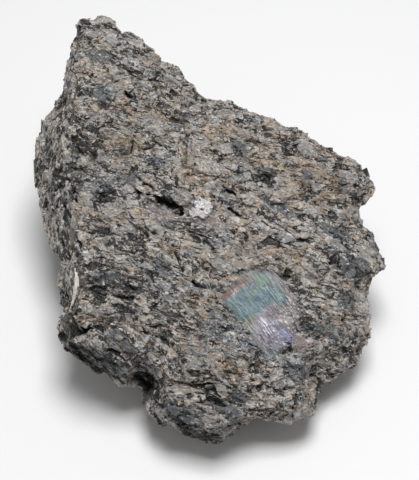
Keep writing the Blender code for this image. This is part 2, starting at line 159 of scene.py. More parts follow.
# Patches of the broad face: centre (u, v), half its length and width, the turn of its length
# in degrees, and how strong it is
PATCHES = {
    # Dark patches: partly painted shade on the left wall, under the lip, in the recess and the pit and
    # along the front lobe's underside; partly dark crystals
    "dark": [
        ((12.5, 14.0), 2.4, 1.6, -20.0, 1.0), ((-23.0, 9.0), 2.6, 2.0, -20.0, 0.9),
        ((-18.0, -10.5), 5.5, 2.4, -10.0, 0.6), ((-29.5, 49.0), 1.4, 1.6, 0.0, 1.0),
        ((-29.5, 21.0), 1.6, 4.0, 0.0, 0.9), ((-33.5, 6.0), 4.0, 20.0, 0.0, 0.35),
        ((-13.0, -31.0), 2.4, 3.2, -20.0, 1.0), ((-24.5, -26.0), 5.5, 2.2, -35.0, 0.9),
        ((-2.0, -41.0), 8.0, 2.2, -22.0, 1.0), ((21.5, -17.5), 2.6, 1.8, 10.0, 0.8),
        ((-30.0, -19.5), 3.0, 0.9, 0.0, 0.9), ((-4.5, -12.5), 3.0, 1.2, -35.0, 0.8),
        ((-12.0, 15.5), 2.6, 1.6, -20.0, 0.6), ((28.0, 1.5), 2.6, 1.4, -20.0, 0.5),
        ((27.5, -26.5), 5.0, 2.4, 40.0, 0.5), ((-20.0, -23.5), 12.0, 4.5, -35.0, 0.6),
        ((-4.0, -38.0), 9.0, 5.0, -20.0, 0.45), ((4.0, -32.0), 9.0, 3.0, -20.0, 0.3),
        ((-27.5, -27.0), 6.0, 3.0, -40.0, 0.8),
    ],
    # Black patches: mostly painted shade under the lip, in the recess beside it, along the front lobe's
    # underside and in holes and a pit; a few black crystals
    "black": [
        ((-25.2, -26.3), 4.6, 1.7, -38.0, 1.0), ((-13.4, -31.6), 3.6, 1.7, -38.0, 1.0),
        ((-29.4, -20.0), 2.8, 0.8, 8.0, 0.8), ((0.0, -43.0), 5.5, 1.5, -14.0, 1.0),
        ((-9.0, -41.0), 4.5, 1.0, -30.0, 0.9), ((-6.0, -36.2), 3.2, 1.0, -22.0, 0.9),
        ((-27.6, 46.4), 1.1, 1.1, 0.0, 1.0), ((-23.8, 10.0), 2.2, 1.1, 15.0, 0.9),
        ((12.8, 14.2), 2.2, 0.8, 25.0, 0.8), ((-28.8, 13.0), 0.8, 3.4, 8.0, 0.7),
        ((-24.6, 17.4), 1.4, 1.2, 0.0, 0.6), ((22.4, -19.0), 2.2, 0.8, -20.0, 0.8),
        ((-17.0, -11.0), 3.4, 1.0, -8.0, 0.35), ((-24.2, -9.0), 1.5, 0.8, 0.0, 0.7),
        ((9.0, -26.2), 2.2, 0.8, -35.0, 0.7), ((-3.0, -10.6), 2.2, 0.6, -40.0, 0.4),
        ((21.0, -18.4), 1.5, 1.3, -50.0, 0.8), ((-8.0, -43.0), 5.0, 2.4, -25.0, 0.8),
        ((27.0, -24.5), 3.0, 0.8, 62.0, 0.6),
    ],
    "tan": [
        ((-2.0, -13.5), 3.4, 1.6, -35.0, 1.0), ((-4.5, 15.5), 1.4, 3.6, 0.0, 1.0),
        ((22.5, 13.5), 9.0, 4.5, -10.0, 0.8), ((3.5, -27.5), 4.6, 1.6, -30.0, 0.7),
        ((22.5, -30.0), 2.5, 1.6, 0.0, 0.9), ((12.5, -35.5), 5.0, 0.8, 0.0, 0.7),
        ((-22.0, -16.6), 9.0, 0.7, 3.0, 1.0), ((-18.0, 30.0), 9.0, 2.0, -10.0, 0.6),
        ((-23.0, 22.5), 6.0, 1.6, 0.0, 0.9), ((-20.0, 4.5), 3.0, 1.2, 0.0, 0.8),
        ((8.0, 22.0), 9.0, 2.6, -25.0, 0.5), ((-8.5, -2.4), 2.4, 1.4, -20.0, 1.0),
        ((0.5, 9.0), 3.5, 0.9, -15.0, 0.9), ((-16.5, -2.5), 4.0, 1.0, -35.0, 0.7),
        ((27.0, -17.5), 3.0, 1.6, 30.0, 0.7), ((-17.5, -33.0), 1.2, 0.9, -30.0, 1.0),
        ((12.0, -1.5), 5.0, 1.4, -10.0, 0.5),
    ],
    "pale": [
        ((-0.5, 4.0), 4.0, 1.8, -35.0, 0.9), ((-23.5, 28.5), 4.5, 1.5, 0.0, 0.7),
        ((-12.0, 4.0), 4.8, 2.4, -30.0, 0.6), ((-24.0, 35.5), 4.0, 2.0, -20.0, 0.5),
        ((-25.5, 43.0), 3.6, 2.0, -10.0, 0.6), ((7.0, -2.0), 4.0, 2.0, -20.0, 0.4),
        ((14.5, -27.0), 3.4, 2.2, -35.0, 0.6), ((-3.0, -16.5), 3.0, 1.2, -35.0, 0.6),
        ((-23.0, 40.0), 6.0, 9.0, -20.0, 0.8), ((25.0, 0.0), 7.0, 12.0, 0.0, 0.55),
        ((8.0, 13.0), 16.0, 7.0, -20.0, 0.5),
    ],
    # White patches: the white cleavage, and painted glints at (-26.8, -2.6) and (14.5, -17.0)
    "white": [
        ((-1.8, 7.3), 2.3, 1.6, 45.0, 1.0), ((-26.8, -2.6), 0.5, 0.35, 40.0, 0.8),
        ((-13.0, -36.2), 1.6, 0.6, 30.0, 0.5), ((14.5, -17.0), 2.2, 1.6, -45.0, 0.5),
    ],
    "silver": [
        ((3.8, -19.2), 6.4, 2.8, -45.0, 1.0), ((18.4, -27.9), 3.6, 2.6, -20.0, 0.9),
        ((-23.5, 34.5), 3.4, 2.4, -20.0, 0.8), ((-9.5, -10.0), 3.0, 2.4, -30.0, 0.7),
        ((13.8, -24.5), 2.4, 2.0, -40.0, 0.8), ((6.5, 20.0), 2.6, 2.0, -20.0, 0.5),
        ((-2.0, -24.0), 3.4, 3.0, 0.0, 0.6), ((0.5, 2.5), 3.6, 1.8, -25.0, 0.6),
    ],
    "pink": [
        ((-9.8, 5.4), 3.2, 1.8, -28.0, 0.9), ((-0.6, 3.2), 3.4, 1.7, -25.0, 0.8),
        ((-4.2, 7.2), 1.5, 1.3, 0.0, 0.9), ((19.3, -22.4), 1.5, 1.9, -20.0, 0.9),
        ((17.5, 9.0), 2.6, 1.6, -20.0, 0.5), ((-12.5, 26.5), 2.6, 1.4, -30.0, 0.6),
        ((8.5, -2.5), 2.8, 1.6, -35.0, 0.6), ((-6.5, 10.8), 2.0, 1.0, -30.0, 0.6),
        ((24.0, -8.0), 2.6, 1.5, -20.0, 0.5), ((-19.0, -5.0), 2.4, 1.4, -20.0, 0.4),
    ],
    "slate": [
        ((27.6, 1.8), 3.2, 1.1, -26.0, 1.0), ((32.0, -6.2), 3.8, 2.2, -15.0, 0.9),
        ((21.7, 14.5), 1.7, 0.9, 0.0, 0.9), ((29.8, 12.1), 1.2, 2.0, 0.0, 0.7),
        ((11.6, 15.8), 2.2, 1.0, -10.0, 0.6), ((-24.5, 41.8), 3.4, 1.9, 10.0, 0.7),
        ((-24.1, 33.0), 2.8, 2.2, -20.0, 0.7), ((-13.5, 37.8), 1.0, 1.8, -30.0, 0.6),
        ((6.7, 20.9), 2.2, 1.3, -10.0, 0.8), ((14.4, 7.7), 5.0, 1.2, -35.0, 0.7),
        ((-17.5, -22.0), 5.0, 1.0, -42.0, 0.7), ((-20.8, -26.8), 4.0, 1.2, -40.0, 0.8),
        ((-6.0, -36.3), 4.0, 1.8, -30.0, 0.8), ((3.4, -35.2), 3.4, 1.4, -20.0, 0.9),
        ((6.7, -33.0), 3.0, 1.2, -20.0, 0.7), ((26.5, -19.8), 3.0, 1.6, -20.0, 0.6),
        ((29.8, -13.2), 2.6, 1.6, -10.0, 0.7), ((23.9, -19.4), 2.0, 1.4, 0.0, 0.9),
        ((-21.9, -7.7), 2.6, 1.4, -20.0, 0.6), ((-10.9, -5.5), 2.2, 1.4, -30.0, 0.8),
        ((-24.0, 12.0), 2.4, 1.6, 0.0, 0.7), ((-17.5, 14.3), 2.2, 1.2, -20.0, 0.7),
        ((18.6, -28.0), 3.0, 2.0, -20.0, 0.6),
    ],
    "blue": [
        ((-11.4, 17.9), 1.6, 1.1, -35.0, 1.0), ((-10.0, -4.4), 1.2, 0.8, -30.0, 0.4),
        ((16.5, -26.2), 2.2, 0.6, -20.0, 0.5), ((2.6, -20.8), 2.6, 0.6, -40.0, 0.6),
        ((9.4, -22.4), 2.4, 0.5, -45.0, 0.5),
    ],
}

# The flash: the middle of the large cleavage face, the slope of its streaks in degrees, and
# its corners
FLASH_MIDDLE = (11.5, -15.8)
FLASH_STREAK = 52.0
FLASH_RING = [(7.6, -6.6), (14.2, -6.6), (16.8, -9.2), (19.8, -13.6), (19.4, -18.2), (17.4, -22.2),
              (13.2, -25.6), (10.4, -23.4), (8.0, -18.4), (4.0, -14.6), (1.8, -13.0)]

# Its zones of colour, laid one over the other: how far down the streaks and across them the
# middle lies, half the zone's size down and across, and how strong it is
FLASH_ZONES = [
    ("silver", (-1.5, -7.5), (6.0, 3.4), 0.7), ("pink", (3.0, 5.2), (5.0, 3.4), 0.8),
    ("lilac", (3.4, -1.0), (4.6, 2.0), 0.95), ("teal", (-4.0, 0.3), (3.2, 5.6), 1.0),
    ("teal", (-0.6, 4.9), (1.8, 1.6), 0.8), ("green", (-5.3, 3.2), (1.5, 2.4), 0.8),
    ("blue", (-2.4, 2.0), (1.7, 1.9), 0.9), ("blue", (-6.3, 0.2), (0.8, 2.4), 0.6),
    ("olive", (-0.6, -3.0), (1.1, 1.5), 0.8), ("brown", (1.0, 1.2), (1.2, 1.8), 0.95),
    ("indigo", (6.9, 0.9), (1.9, 0.8), 0.8), ("brown", (5.6, -2.8), (1.9, 1.0), 0.9),
    # The white zone is a painted highlight on the flash face
    ("dim", (8.6, -3.6), (2.0, 1.7), 0.8), ("white", (2.3, -1.3), (1.8, 0.8), 0.6),
    ("rust", (-7.9, -1.5), (0.85, 4.0), 0.95),
]

# Crystals that stand on the surface: how many, a seed, the usual length of one, how much
# the lengths differ, width and thickness against length, and how far the tops stand proud.
CRYSTALS = {
    "broad_crystals": (1900, 54, 2.80, 0.40, 0.60, 0.24, 0.12),
    "face_crystals": (4300, 51, 1.25, 0.45, 0.50, 0.42, 0.08),
    "side_crystals": (9000, 52, 1.40, 0.45, 0.55, 0.42, 0.09),
    "fine_crystals": (11000, 53, 0.62, 0.30, 0.60, 0.60, 0.08),
}
FLAKES = (3000, 61, 1.3, 0.40, 0.35, 0.14, 0.06)

# How loosely the blocks and the flakes lie, the size and the seed of the clumps of flakes, and
# how thinly blocks lie on the base and on calm crystals
BLOCK_LOOSE = 0.07
FLAKE_LOOSE = 0.10
FLAKE_CLUMPS = (3.0, 34)
SPARSE = 0.15

# How the blocks vary: how much they shrink on edges, how they turn, the limits of their size,
# width and thickness, how their corners and tops are cut, how askew they are, and how they rise
EDGE_SHRINK = 0.55
BLOCK_TURN = 0.22
BLOCK_SIZES = (0.4, 2.0)
BLOCK_WIDTHS = (0.6, 1.4)
BLOCK_THICKNESSES = (0.7, 1.3)
BLOCK_CORNERS = (0.72, 1.28)
BLOCK_TOPS = (0.70, 0.98)
BLOCK_SHEAR = 0.30
BLOCK_SLOPE = 0.25
BLOCK_RISES = (-0.4, 1.3)

# A block's corners, its triangles with the underside first, and how far its lower and its upper
# corners lie from the middle of its square on the map
BLOCK = np.array(
    [(x, y, z) for z in (-1, 1) for x, y in ((-1, -1), (1, -1), (1, 1), (-1, 1))], float)
BLOCK_FACES = np.array([
    (0, 3, 2), (0, 2, 1), (4, 5, 6), (4, 6, 7), (0, 1, 5), (0, 5, 4), (1, 2, 6), (1, 6, 5),
    (2, 3, 7), (2, 7, 6), (3, 0, 4), (3, 4, 7)])
BLOCK_LOWER = 0.46
BLOCK_UPPER = 0.28

# The body's map: for each side of its box, how its points are laid out flat, where that
# drawing starts and its scale, all in millimetres on a sheet of MAP_SIDE
MAP_SIDE = 172.0
MAP_CHARTS = [
    (2, 1, (0, 1), (42.0, 50.5), 1.0), (2, -1, (0, 1), (15.0, 156.5), 0.28),
    (0, 1, (2, 1), (84.5, 50.5), 1.0), (0, -1, (2, 1), (128.5, 50.5), 1.0),
    (1, 1, (0, 2), (42.0, 101.5), 1.0), (1, -1, (0, 2), (124.0, 101.5), 1.0),
]

# Long thin lamellae that lie on the surface in rows: where the middle of a row starts and
# ends (u, v), how many there are, how far the row spreads, and half the width of one
LAMELLAE = [
    ((-24.0, -17.8), (-11.0, -29.0), 70, 2.8, 0.19), ((-33.4, 16.5), (-29.6, 3.5), 40, 1.5, 0.16),
    ((-28.6, 4.0), (-29.4, -13.0), 32, 0.9, 0.14), ((-35.0, 6.0), (-31.5, -10.0), 26, 0.9, 0.14),
    ((-33.5, -17.2), (-20.0, -16.8), 30, 0.6, 0.18), ((-24.5, -8.6), (-9.0, -14.6), 26, 1.6, 0.14),
    ((-8.0, -30.2), (4.5, -34.6), 30, 1.5, 0.17), ((-6.0, -34.8), (5.5, -40.0), 22, 1.8, 0.17),
    ((-5.6, 32.2), (-0.2, 28.0), 5, 0.5, 0.2), ((18.0, 15.0), (31.0, 11.5), 34, 2.6, 0.14),
    ((-2.0, 14.0), (12.0, 9.0), 18, 3.0, 0.13), ((-16.0, -13.0), (-6.0, -18.0), 18, 2.2, 0.14),
    ((15.0, -24.0), (29.0, -19.0), 16, 2.4, 0.14), ((-24.0, 22.0), (-8.0, 20.0), 16, 2.0, 0.13),
    ((-27.0, -25.0), (-18.0, -29.5), 12, 1.0, 0.16),
]

# How the lamellae vary: a seed, cross sections, length against the row, width, height, how much
# of the row's spread the ends part by, how far one bends, and the steepest step that it bridges
LAMELLA_SEED = 71
LAMELLA_SECTIONS = 8
LAMELLA_SHARES = (0.14, 0.42)
LAMELLA_WIDTHS = (0.6, 1.5)
LAMELLA_HEIGHT = 0.16
LAMELLA_HEIGHTS = (0.5, 1.4)
LAMELLA_SPLAY = 0.25
LAMELLA_BEND = 0.25
LAMELLA_STEEPEST = 1.6

# The long pale splinter at the left edge: its points (u, v) from the top, its cross sections,
# its half width and height, and how far it lies off the rock
SPLINTER_LINE = [(-28.9, -6.0), (-28.5, -8.4), (-28.6, -11.0), (-29.2, -13.4), (-30.2, -15.8)]
SPLINTER_SECTIONS = 17
SPLINTER_HALF_WIDTH = 0.66
SPLINTER_HEIGHT = 0.35
SPLINTER_LIFT = 0.6

# How blunt the tips of lamellae and of the splinter are, and how deep their foot is sunk,
# against their height
SLIVER_TIP = 0.12
SLIVER_SINK = 0.8

# The softbox's direction and distance from the origin, and half the floor's side, in metres
KEY_DIRECTION = (0.06, 0.0, 1.0)
KEY_DISTANCE = 0.5
FLOOR_HALF = 2.0


def amount(default, low, high, name, description, **kind):
    """A number property."""
    return bpy.props.FloatProperty(
        name=name, description=description, default=default, min=low, max=high, **kind)


def length(default, low, high, name, description):
    """A length property, given in millimetres."""
    return amount(default * MM, low * MM, high * MM, name, description,
                  precision=5, subtype="DISTANCE", unit="LENGTH")


def tone(rgb, name, description):
    """A colour property."""
    return bpy.props.FloatVectorProperty(
        name=name, description=description, default=rgb, min=0.0, max=1.0, size=3, subtype="COLOR")


class RockSizes(bpy.types.PropertyGroup):
    """Sizes of the rock's fine surface."""

    relief: amount(1.0, 0.0, 2.0, "Crystal relief",
                   "How far the crystals stand out, against the default", subtype="FACTOR")
    fine_face: length(VOXEL, 0.2, 2.0, "Fine face", "Spacing of the faces before they are thinned")
    bump: length(0.10, 0.0, 0.5, "Grain depth", "Depth of the finest grain, which is only shaded")


class RockColours(bpy.types.PropertyGroup):
    """Colours of the rock and its weathering."""

    # Black is painted shade in cracks, clefts, gaps and hollows, and also the darkest crystals' own
    # colour
    black: tone((0.012, 0.012, 0.012), "Black", "Deep cracks and the gaps between crystals")
    dark: tone((0.062, 0.066, 0.065), "Dark grey", "Dark feldspar")
    middle: tone((0.216, 0.213, 0.207), "Middle grey", "Common feldspar")
    light: tone((0.520, 0.500, 0.470), "Light grey", "Pale feldspar")
    tan: tone((0.500, 0.385, 0.272), "Weathered tan", "Flakes and edges stained by weather")
    umber: tone((0.240, 0.150, 0.075), "Umber", "Deeper stain between crystals")
    # The rim colour serves pale frayed edges and also a painted highlight on ridges and the blocks' top
    # edges
    rim: tone((0.640, 0.600, 0.550), "Frayed edges", "Pale frayed edges of the crystals")
    white: tone((0.66, 0.64, 0.66), "White", "The white cleavage and small glints")
    blue: tone((0.075, 0.100, 0.150), "Blue grain", "The small blue grain")
    pink: tone((0.250, 0.212, 0.205), "Pinkish plates", "Smooth feldspar with a warm cast")
    slate: tone((0.105, 0.111, 0.118), "Slate plates", "Smooth dark feldspar")
    splinter: tone((0.72, 0.66, 0.57), "Splinter", "The long pale splinter")


class FlashColours(bpy.types.PropertyGroup):
    """Colours of the zones of the large cleavage face."""

    base: tone((0.190, 0.190, 0.198), "Cleavage grey", "The face where it has no colour")
    silver: tone((0.225, 0.235, 0.245), "Silver", "Granular zone at the lower left")
    pink: tone((0.255, 0.225, 0.218), "Pink grey", "Granular zone at the right")
    lilac: tone((0.245, 0.230, 0.300), "Lilac", "Streak along the middle")
    teal: tone((0.085, 0.172, 0.190), "Teal", "Large blue-green zone")
    green: tone((0.105, 0.182, 0.138), "Green", "Green part of the teal zone")
    blue: tone((0.055, 0.125, 0.185), "Blue", "Deepest part of the teal zone")
    olive: tone((0.180, 0.190, 0.135), "Olive", "Where the teal zone ends")
    brown: tone((0.160, 0.130, 0.160), "Violet brown", "Dull zones along the lilac streak")
    indigo: tone((0.155, 0.170, 0.320), "Indigo", "Small zone at the lower right")
    dim: tone((0.120, 0.160, 0.175), "Dim blue", "Faint zone at the bottom")
    # The white streak is a painted highlight on the flash; the same colour also tints the pale
    # scratches
    white: tone((0.72, 0.72, 0.76), "White streak", "Brightest streak")
    rust: tone((0.172, 0.108, 0.097), "Rust edge", "Red-brown strip along the upper edge")


class StageSettings(bpy.types.PropertyGroup):
    """The floor, the light and the camera."""

    floor: tone((0.84, 0.84, 0.845), "Floor", "Colour of the pale floor")
    key_power: amount(2.3, 0.0, 200.0, "Softbox power", "Power of the overhead softbox",
                      unit="POWER")
    key_size: amount(0.20, 0.02, 2.0, "Softbox size", "Side of the overhead softbox", unit="LENGTH")
    fill: amount(0.28, 0.0, 3.0, "Fill light", "Strength of the even light from all around")
    camera_distance: amount(0.293, 0.1, 2.0, "Camera distance", "From the middle of the broad face",
                            unit="LENGTH")
    lens: amount(100.0, 20.0, 300.0, "Lens", "Focal length")


def sight_axes():
    """Unit vectors to the right, up the face and off it, as rows."""
    elevation = math.radians(SIGHT_ELEVATION)
    sine = math.sin(elevation)
    cosine = math.cos(elevation)
    return np.array([(1.0, 0.0, 0.0), (0.0, sine, cosine), (0.0, -cosine, sine)])


def to_sight(points):
    """Points of the solid, in millimetres, as (u, v, n)."""
    return (points - np.array(SIGHT_ORIGIN)) @ sight_axes().T


def unit(vectors):
    """The vectors at length one."""
    return vectors / np.maximum(np.linalg.norm(vectors, axis=-1, keepdims=True), 1e-9)


def faded(values, slope=1.0, start=0.0):
    """The values times a slope and plus a start, kept between 0 and 1."""
    return np.clip(values * slope + start, 0.0, 1.0)


def grain_axes():
    """Unit vectors along the grain, across it and through the layers, in the sight frame."""
    along = unit(np.array(GRAIN_DIRECTION))
    layer = np.array(LAYER_DIRECTION)
    layer = unit(layer - along * (layer @ along))
    return np.array([along, np.cross(layer, along), layer])


def inside(spots, ring):
    """True for the spots that lie in a ring of corners."""
    result = np.zeros(len(spots), bool)
    for (u0, v0), (u1, v1) in zip(ring, ring[1:] + ring[:1]):
        if v0 == v1:
            continue
        crosses = (spots[:, 1] < v0) != (spots[:, 1] < v1)
        edge = u0 + (spots[:, 1] - v0) * (u1 - u0) / (v1 - v0)
        result ^= crosses & (spots[:, 0] < edge)
    return result


def line_distance(spots, start, end):
    """How far spots lie from a line, and how far along it, from 0 to 1."""
    start = np.array(start, float)
    run = np.array(end, float) - start
    offset = spots - start
    along = faded((offset @ run) / (run @ run))
    return np.linalg.norm(offset - along[:, None] * run, axis=1), along


def lattice_random(cells, seed, count=9):
    """Repeatable random numbers from 0 to 1 for each cell of a lattice."""
    mixed = cells.astype(np.int64) @ np.array([73856093, 19349663, 83492791]) + seed * 2654435761
    numbers = []
    for turn in range(count):
        mixed = (mixed ^ (mixed >> 15)) * 2246822519 & 0xFFFFFFFF
        mixed = (mixed ^ (mixed >> 13)) * 3266489917 & 0xFFFFFFFF
        mixed = (mixed ^ (mixed >> 16)) + turn * 668265263
        numbers.append((mixed & 0xFFFFFF) / 0x1000000)
    return np.stack(numbers, axis=-1)


def crystals_at(places, kind):
    """The crystal at each place: nine random numbers, the height of its flat face from -1 to 1
    and how far its border is, against its size."""
    seed, spacing, _ = kind
    space = places / np.array(spacing)
    home = np.floor(space)
    nearest = np.full(len(space), np.inf)
    second = np.full(len(space), np.inf)
    away = np.zeros((len(space), 3))
    owner = home.copy()
    for step in itertools.product((-1, 0, 1), repeat=3):
        cell = home + step
        offset = space - cell - lattice_random(cell, seed, 3)
        distance = np.linalg.norm(offset, axis=1)
        nearer = distance < nearest
        second = np.where(nearer, nearest, np.minimum(second, distance))
        nearest = np.where(nearer, distance, nearest)
        owner[nearer] = cell[nearer]
        away[nearer] = offset[nearer]
    chance = lattice_random(owner, seed)
    tilt = (chance[:, 3:6] - 0.5) * 2.0
    height = (chance[:, 3] - 0.5) * FACE_RISE + (tilt * away).sum(axis=1) * FACE_TILT
    return chance, np.clip(height, -1.0, 1.0), second - nearest


def soft_noise(points, size, seed):
    """Smooth noise from -1 to 1 with bumps of the given size."""
    space = points / size
    home = np.floor(space)
    share = space - home
    share = share * share * (3.0 - 2.0 * share)
    total = np.zeros(len(points))
    for i, j, k in itertools.product((0, 1), repeat=3):
        weight = np.abs(1 - i - share[:, 0])
        weight = weight * np.abs(1 - j - share[:, 1]) * np.abs(1 - k - share[:, 2])
        total += weight * lattice_random(home + (i, j, k), seed, 1)[:, 0]
    return total * 2.0 - 1.0


def wander(points, way):
    """Smooth noise with a column for each seed, from a size of bumps, a reach and seeds."""
    size, reach, *seeds = way
    return reach * np.stack([soft_noise(points, size, seed) for seed in seeds], axis=-1)


def turned(vectors, angles):
    """The vectors with their first two numbers turned by the angles."""
    cosine = np.cos(angles)
    sine = np.sin(angles)
    result = vectors.copy()
    result[:, 0] = vectors[:, 0] * cosine - vectors[:, 1] * sine
    result[:, 1] = vectors[:, 0] * sine + vectors[:, 1] * cosine
    return result


def zones(sight):
    """The turn of the grain at each point, and the middle of the zone that turns it."""
    spots = sight[:, :2] + wander(sight, ZONE_WANDER)
    turn = np.zeros(len(sight))
    middle = np.zeros((len(sight), 3))
    for degrees, ring in GRAIN_TURNS.values():
        here = inside(spots, ring)
        turn[here] = math.radians(degrees)
        middle[here, :2] = np.array(ring).mean(axis=0)
    return turn, middle


def grain_places(sight):
    """Places counted along the grain, across it and through the layers, in millimetres."""
    turn, middle = zones(sight)
    return (turned(sight - middle, -turn) + middle) @ grain_axes().T


def wobbled(places):
    """Places shaken a little, so that borders between crystals aren't straight."""
    return places + wander(places, BORDER_WANDER)


def patch_strength(sight, patches):
    """How strongly a point lies in any of the patches, fading over their edges."""
    strength = np.zeros(len(sight))
    spots = sight[:, :2] + wander(sight, PATCH_WANDER)
    for (u, v), half_length, half_width, degrees, most in patches:
        offset = turned(spots - (u, v), np.full(len(sight), -math.radians(degrees)))
        reach = np.hypot(offset[:, 0] / half_length, offset[:, 1] / half_width)
        strength = np.maximum(strength, most * faded(reach, -1.2, 1.8))
    return strength


def cleft_strength(sight):
    """How deep a point lies in a cleft, in millimetres, and from 0 to 1."""
    bent = wander(sight, CLEFT_RAGGED) + wander(sight, CLEFT_BEND)
    spots = sight[:, :2] + bent
    pinch = 1.0 + wander(sight, CLEFT_PINCH)[:, 0]
    depth = np.zeros(len(sight))
    share = np.zeros(len(sight))
    for start, end, first_half, last_half, most in CLEFTS:
        distance, along = line_distance(spots, start, end)
        taper = np.clip(5.0 * along * (1.0 - along), 0.05, 1.0) * pinch
        half_width = (first_half + (last_half - first_half) * along) * taper
        here = faded(distance / half_width, -1.0, 1.5)
        depth = np.maximum(depth, most * here)
        share = np.maximum(share, here)
    return depth, share


def flash_places(sight):
    """Millimetres down the streaks of the flash face and across them, and 1 on the face."""
    turn = math.radians(FLASH_STREAK)
    offset = sight[:, :2] - np.array(FLASH_MIDDLE)
    down = offset[:, 0] * math.cos(turn) - offset[:, 1] * math.sin(turn)
    across = offset[:, 0] * math.sin(turn) + offset[:, 1] * math.cos(turn)
    sides = zip(FLASH_RING, FLASH_RING[1:] + FLASH_RING[:1])
    reach = np.min([line_distance(sight[:, :2], *side)[0] for side in sides], axis=0)
    signed = np.where(inside(sight[:, :2], FLASH_RING), reach, -reach)
    return np.stack([down, across, faded(signed / FLASH_EDGE, 1.0, 0.5)], axis=-1)


def face_up(normals):
    """1 on the broad face, fading to 0 on walls and the underside."""
    return faded(normals @ sight_axes()[2], 2.5, -0.2)


def in_sight(normals):
    """1 on all that faces the line of sight at all, fading to 0 behind it."""
    return faded(normals @ sight_axes()[2], 4.0, 0.7)


def read_list(items, key, width, kind=float):
    """One value of every item of a mesh's list, in rows of the given width."""
    flat = np.empty(len(items) * width, kind)
    items.foreach_get(key, flat)
    return flat.reshape(-1, width)


def read_points(mesh):
    """The mesh's points in millimetres."""
    return read_list(mesh.vertices, "co", 3) / MM


def triangle_corners(mesh):
    """The three points of every triangle."""
    return read_list(mesh.loops, "vertex_index", 1, np.int32).reshape(-1, 3)


def relaxed(values, ends, rounds):
    """Values at the points after they have settled toward their neighbours' a few times."""
    first = np.concatenate([ends[:, 0], ends[:, 1]])
    second = np.concatenate([ends[:, 1], ends[:, 0]])
    count = np.maximum(np.bincount(first, minlength=len(values)), 1)
    for _ in range(rounds):
        columns = [np.bincount(first, values[second, c], len(values)) / count for c in range(3)]
        values = 0.5 * values + 0.5 * np.stack(columns, axis=-1)
    return values


def apply_modifier(obj, name, kind, **settings):
    """Run one modifier on the object and keep its result as the object's mesh."""
    step = obj.modifiers.new(name, kind)
    for key, value in settings.items():
        setattr(step, key, value)
    graph = bpy.context.evaluated_depsgraph_get()
    mesh = bpy.data.meshes.new_from_object(obj.evaluated_get(graph))
    obj.modifiers.clear()
    obj.data = mesh
    return mesh


def add_attribute(mesh, name, values, domain="POINT"):
    """Store a number or a vector for each point or face of the mesh."""
    kind, key = ("FLOAT", "value") if values.ndim == 1 else ("FLOAT_VECTOR", "vector")
    layer = mesh.attributes.new(name, kind, domain)
    layer.data.foreach_set(key, values.astype(np.float32).ravel())


def read_numbers(mesh, name):
    """The numbers stored on the mesh under a name."""
    return read_list(mesh.attributes[name].data, "value", 1)[:, 0]


def read_vectors(mesh, name):
    """The vectors stored on the mesh under a name."""
    return read_list(mesh.attributes[name].data, "vector", 3)


def over_faces(mesh, values):
    """Values at the mesh's points, as their mean over each triangle."""
    return values[triangle_corners(mesh)].mean(axis=1)


def add_map(mesh, spots):
    """Lay the mesh's corners out flat, for painting its finish onto an image."""
    layer = mesh.uv_layers.new(name="OFBake")
    layer.data.foreach_set("uv", spots.astype(np.float32).ravel())


def add_square_maps(mesh, count, corners):
    """Lay each of many like shapes out on a square of its own, its corners placed from 0 to 1."""
    side = math.ceil(math.sqrt(count))
    squares = np.stack([np.arange(count) % side, np.arange(count) // side], axis=-1)
    add_map(mesh, (squares[:, None, None, :] + corners[None]) / side)


def add_marks(mesh, sight, normals):
    """Store the patches, the clefts and the flash for each point."""
    seen = in_sight(normals)
    for name, patches in PATCHES.items():
        add_attribute(mesh, name, patch_strength(sight, patches) * seen)
    add_attribute(mesh, "cleft", cleft_strength(sight)[1] * seen)
    flash = flash_places(sight)
    flash[:, 2] *= seen
    add_attribute(mesh, "flash", flash)


def add_grain(mesh, sight):
    """Store the place in the grain of each point, and how near a large crystal's border it is."""
    grain = grain_places(sight)
    add_attribute(mesh, "grain", grain)
    add_attribute(mesh, "border", crystals_at(wobbled(grain), COARSE)[2])


def add_object(context, name, data):
    """A new object in the scene."""
    obj = bpy.data.objects.new(name, data)
    context.scene.collection.objects.link(obj)
    return obj


def grey(level):
    """A grey as a colour."""
    return (level, level, level)


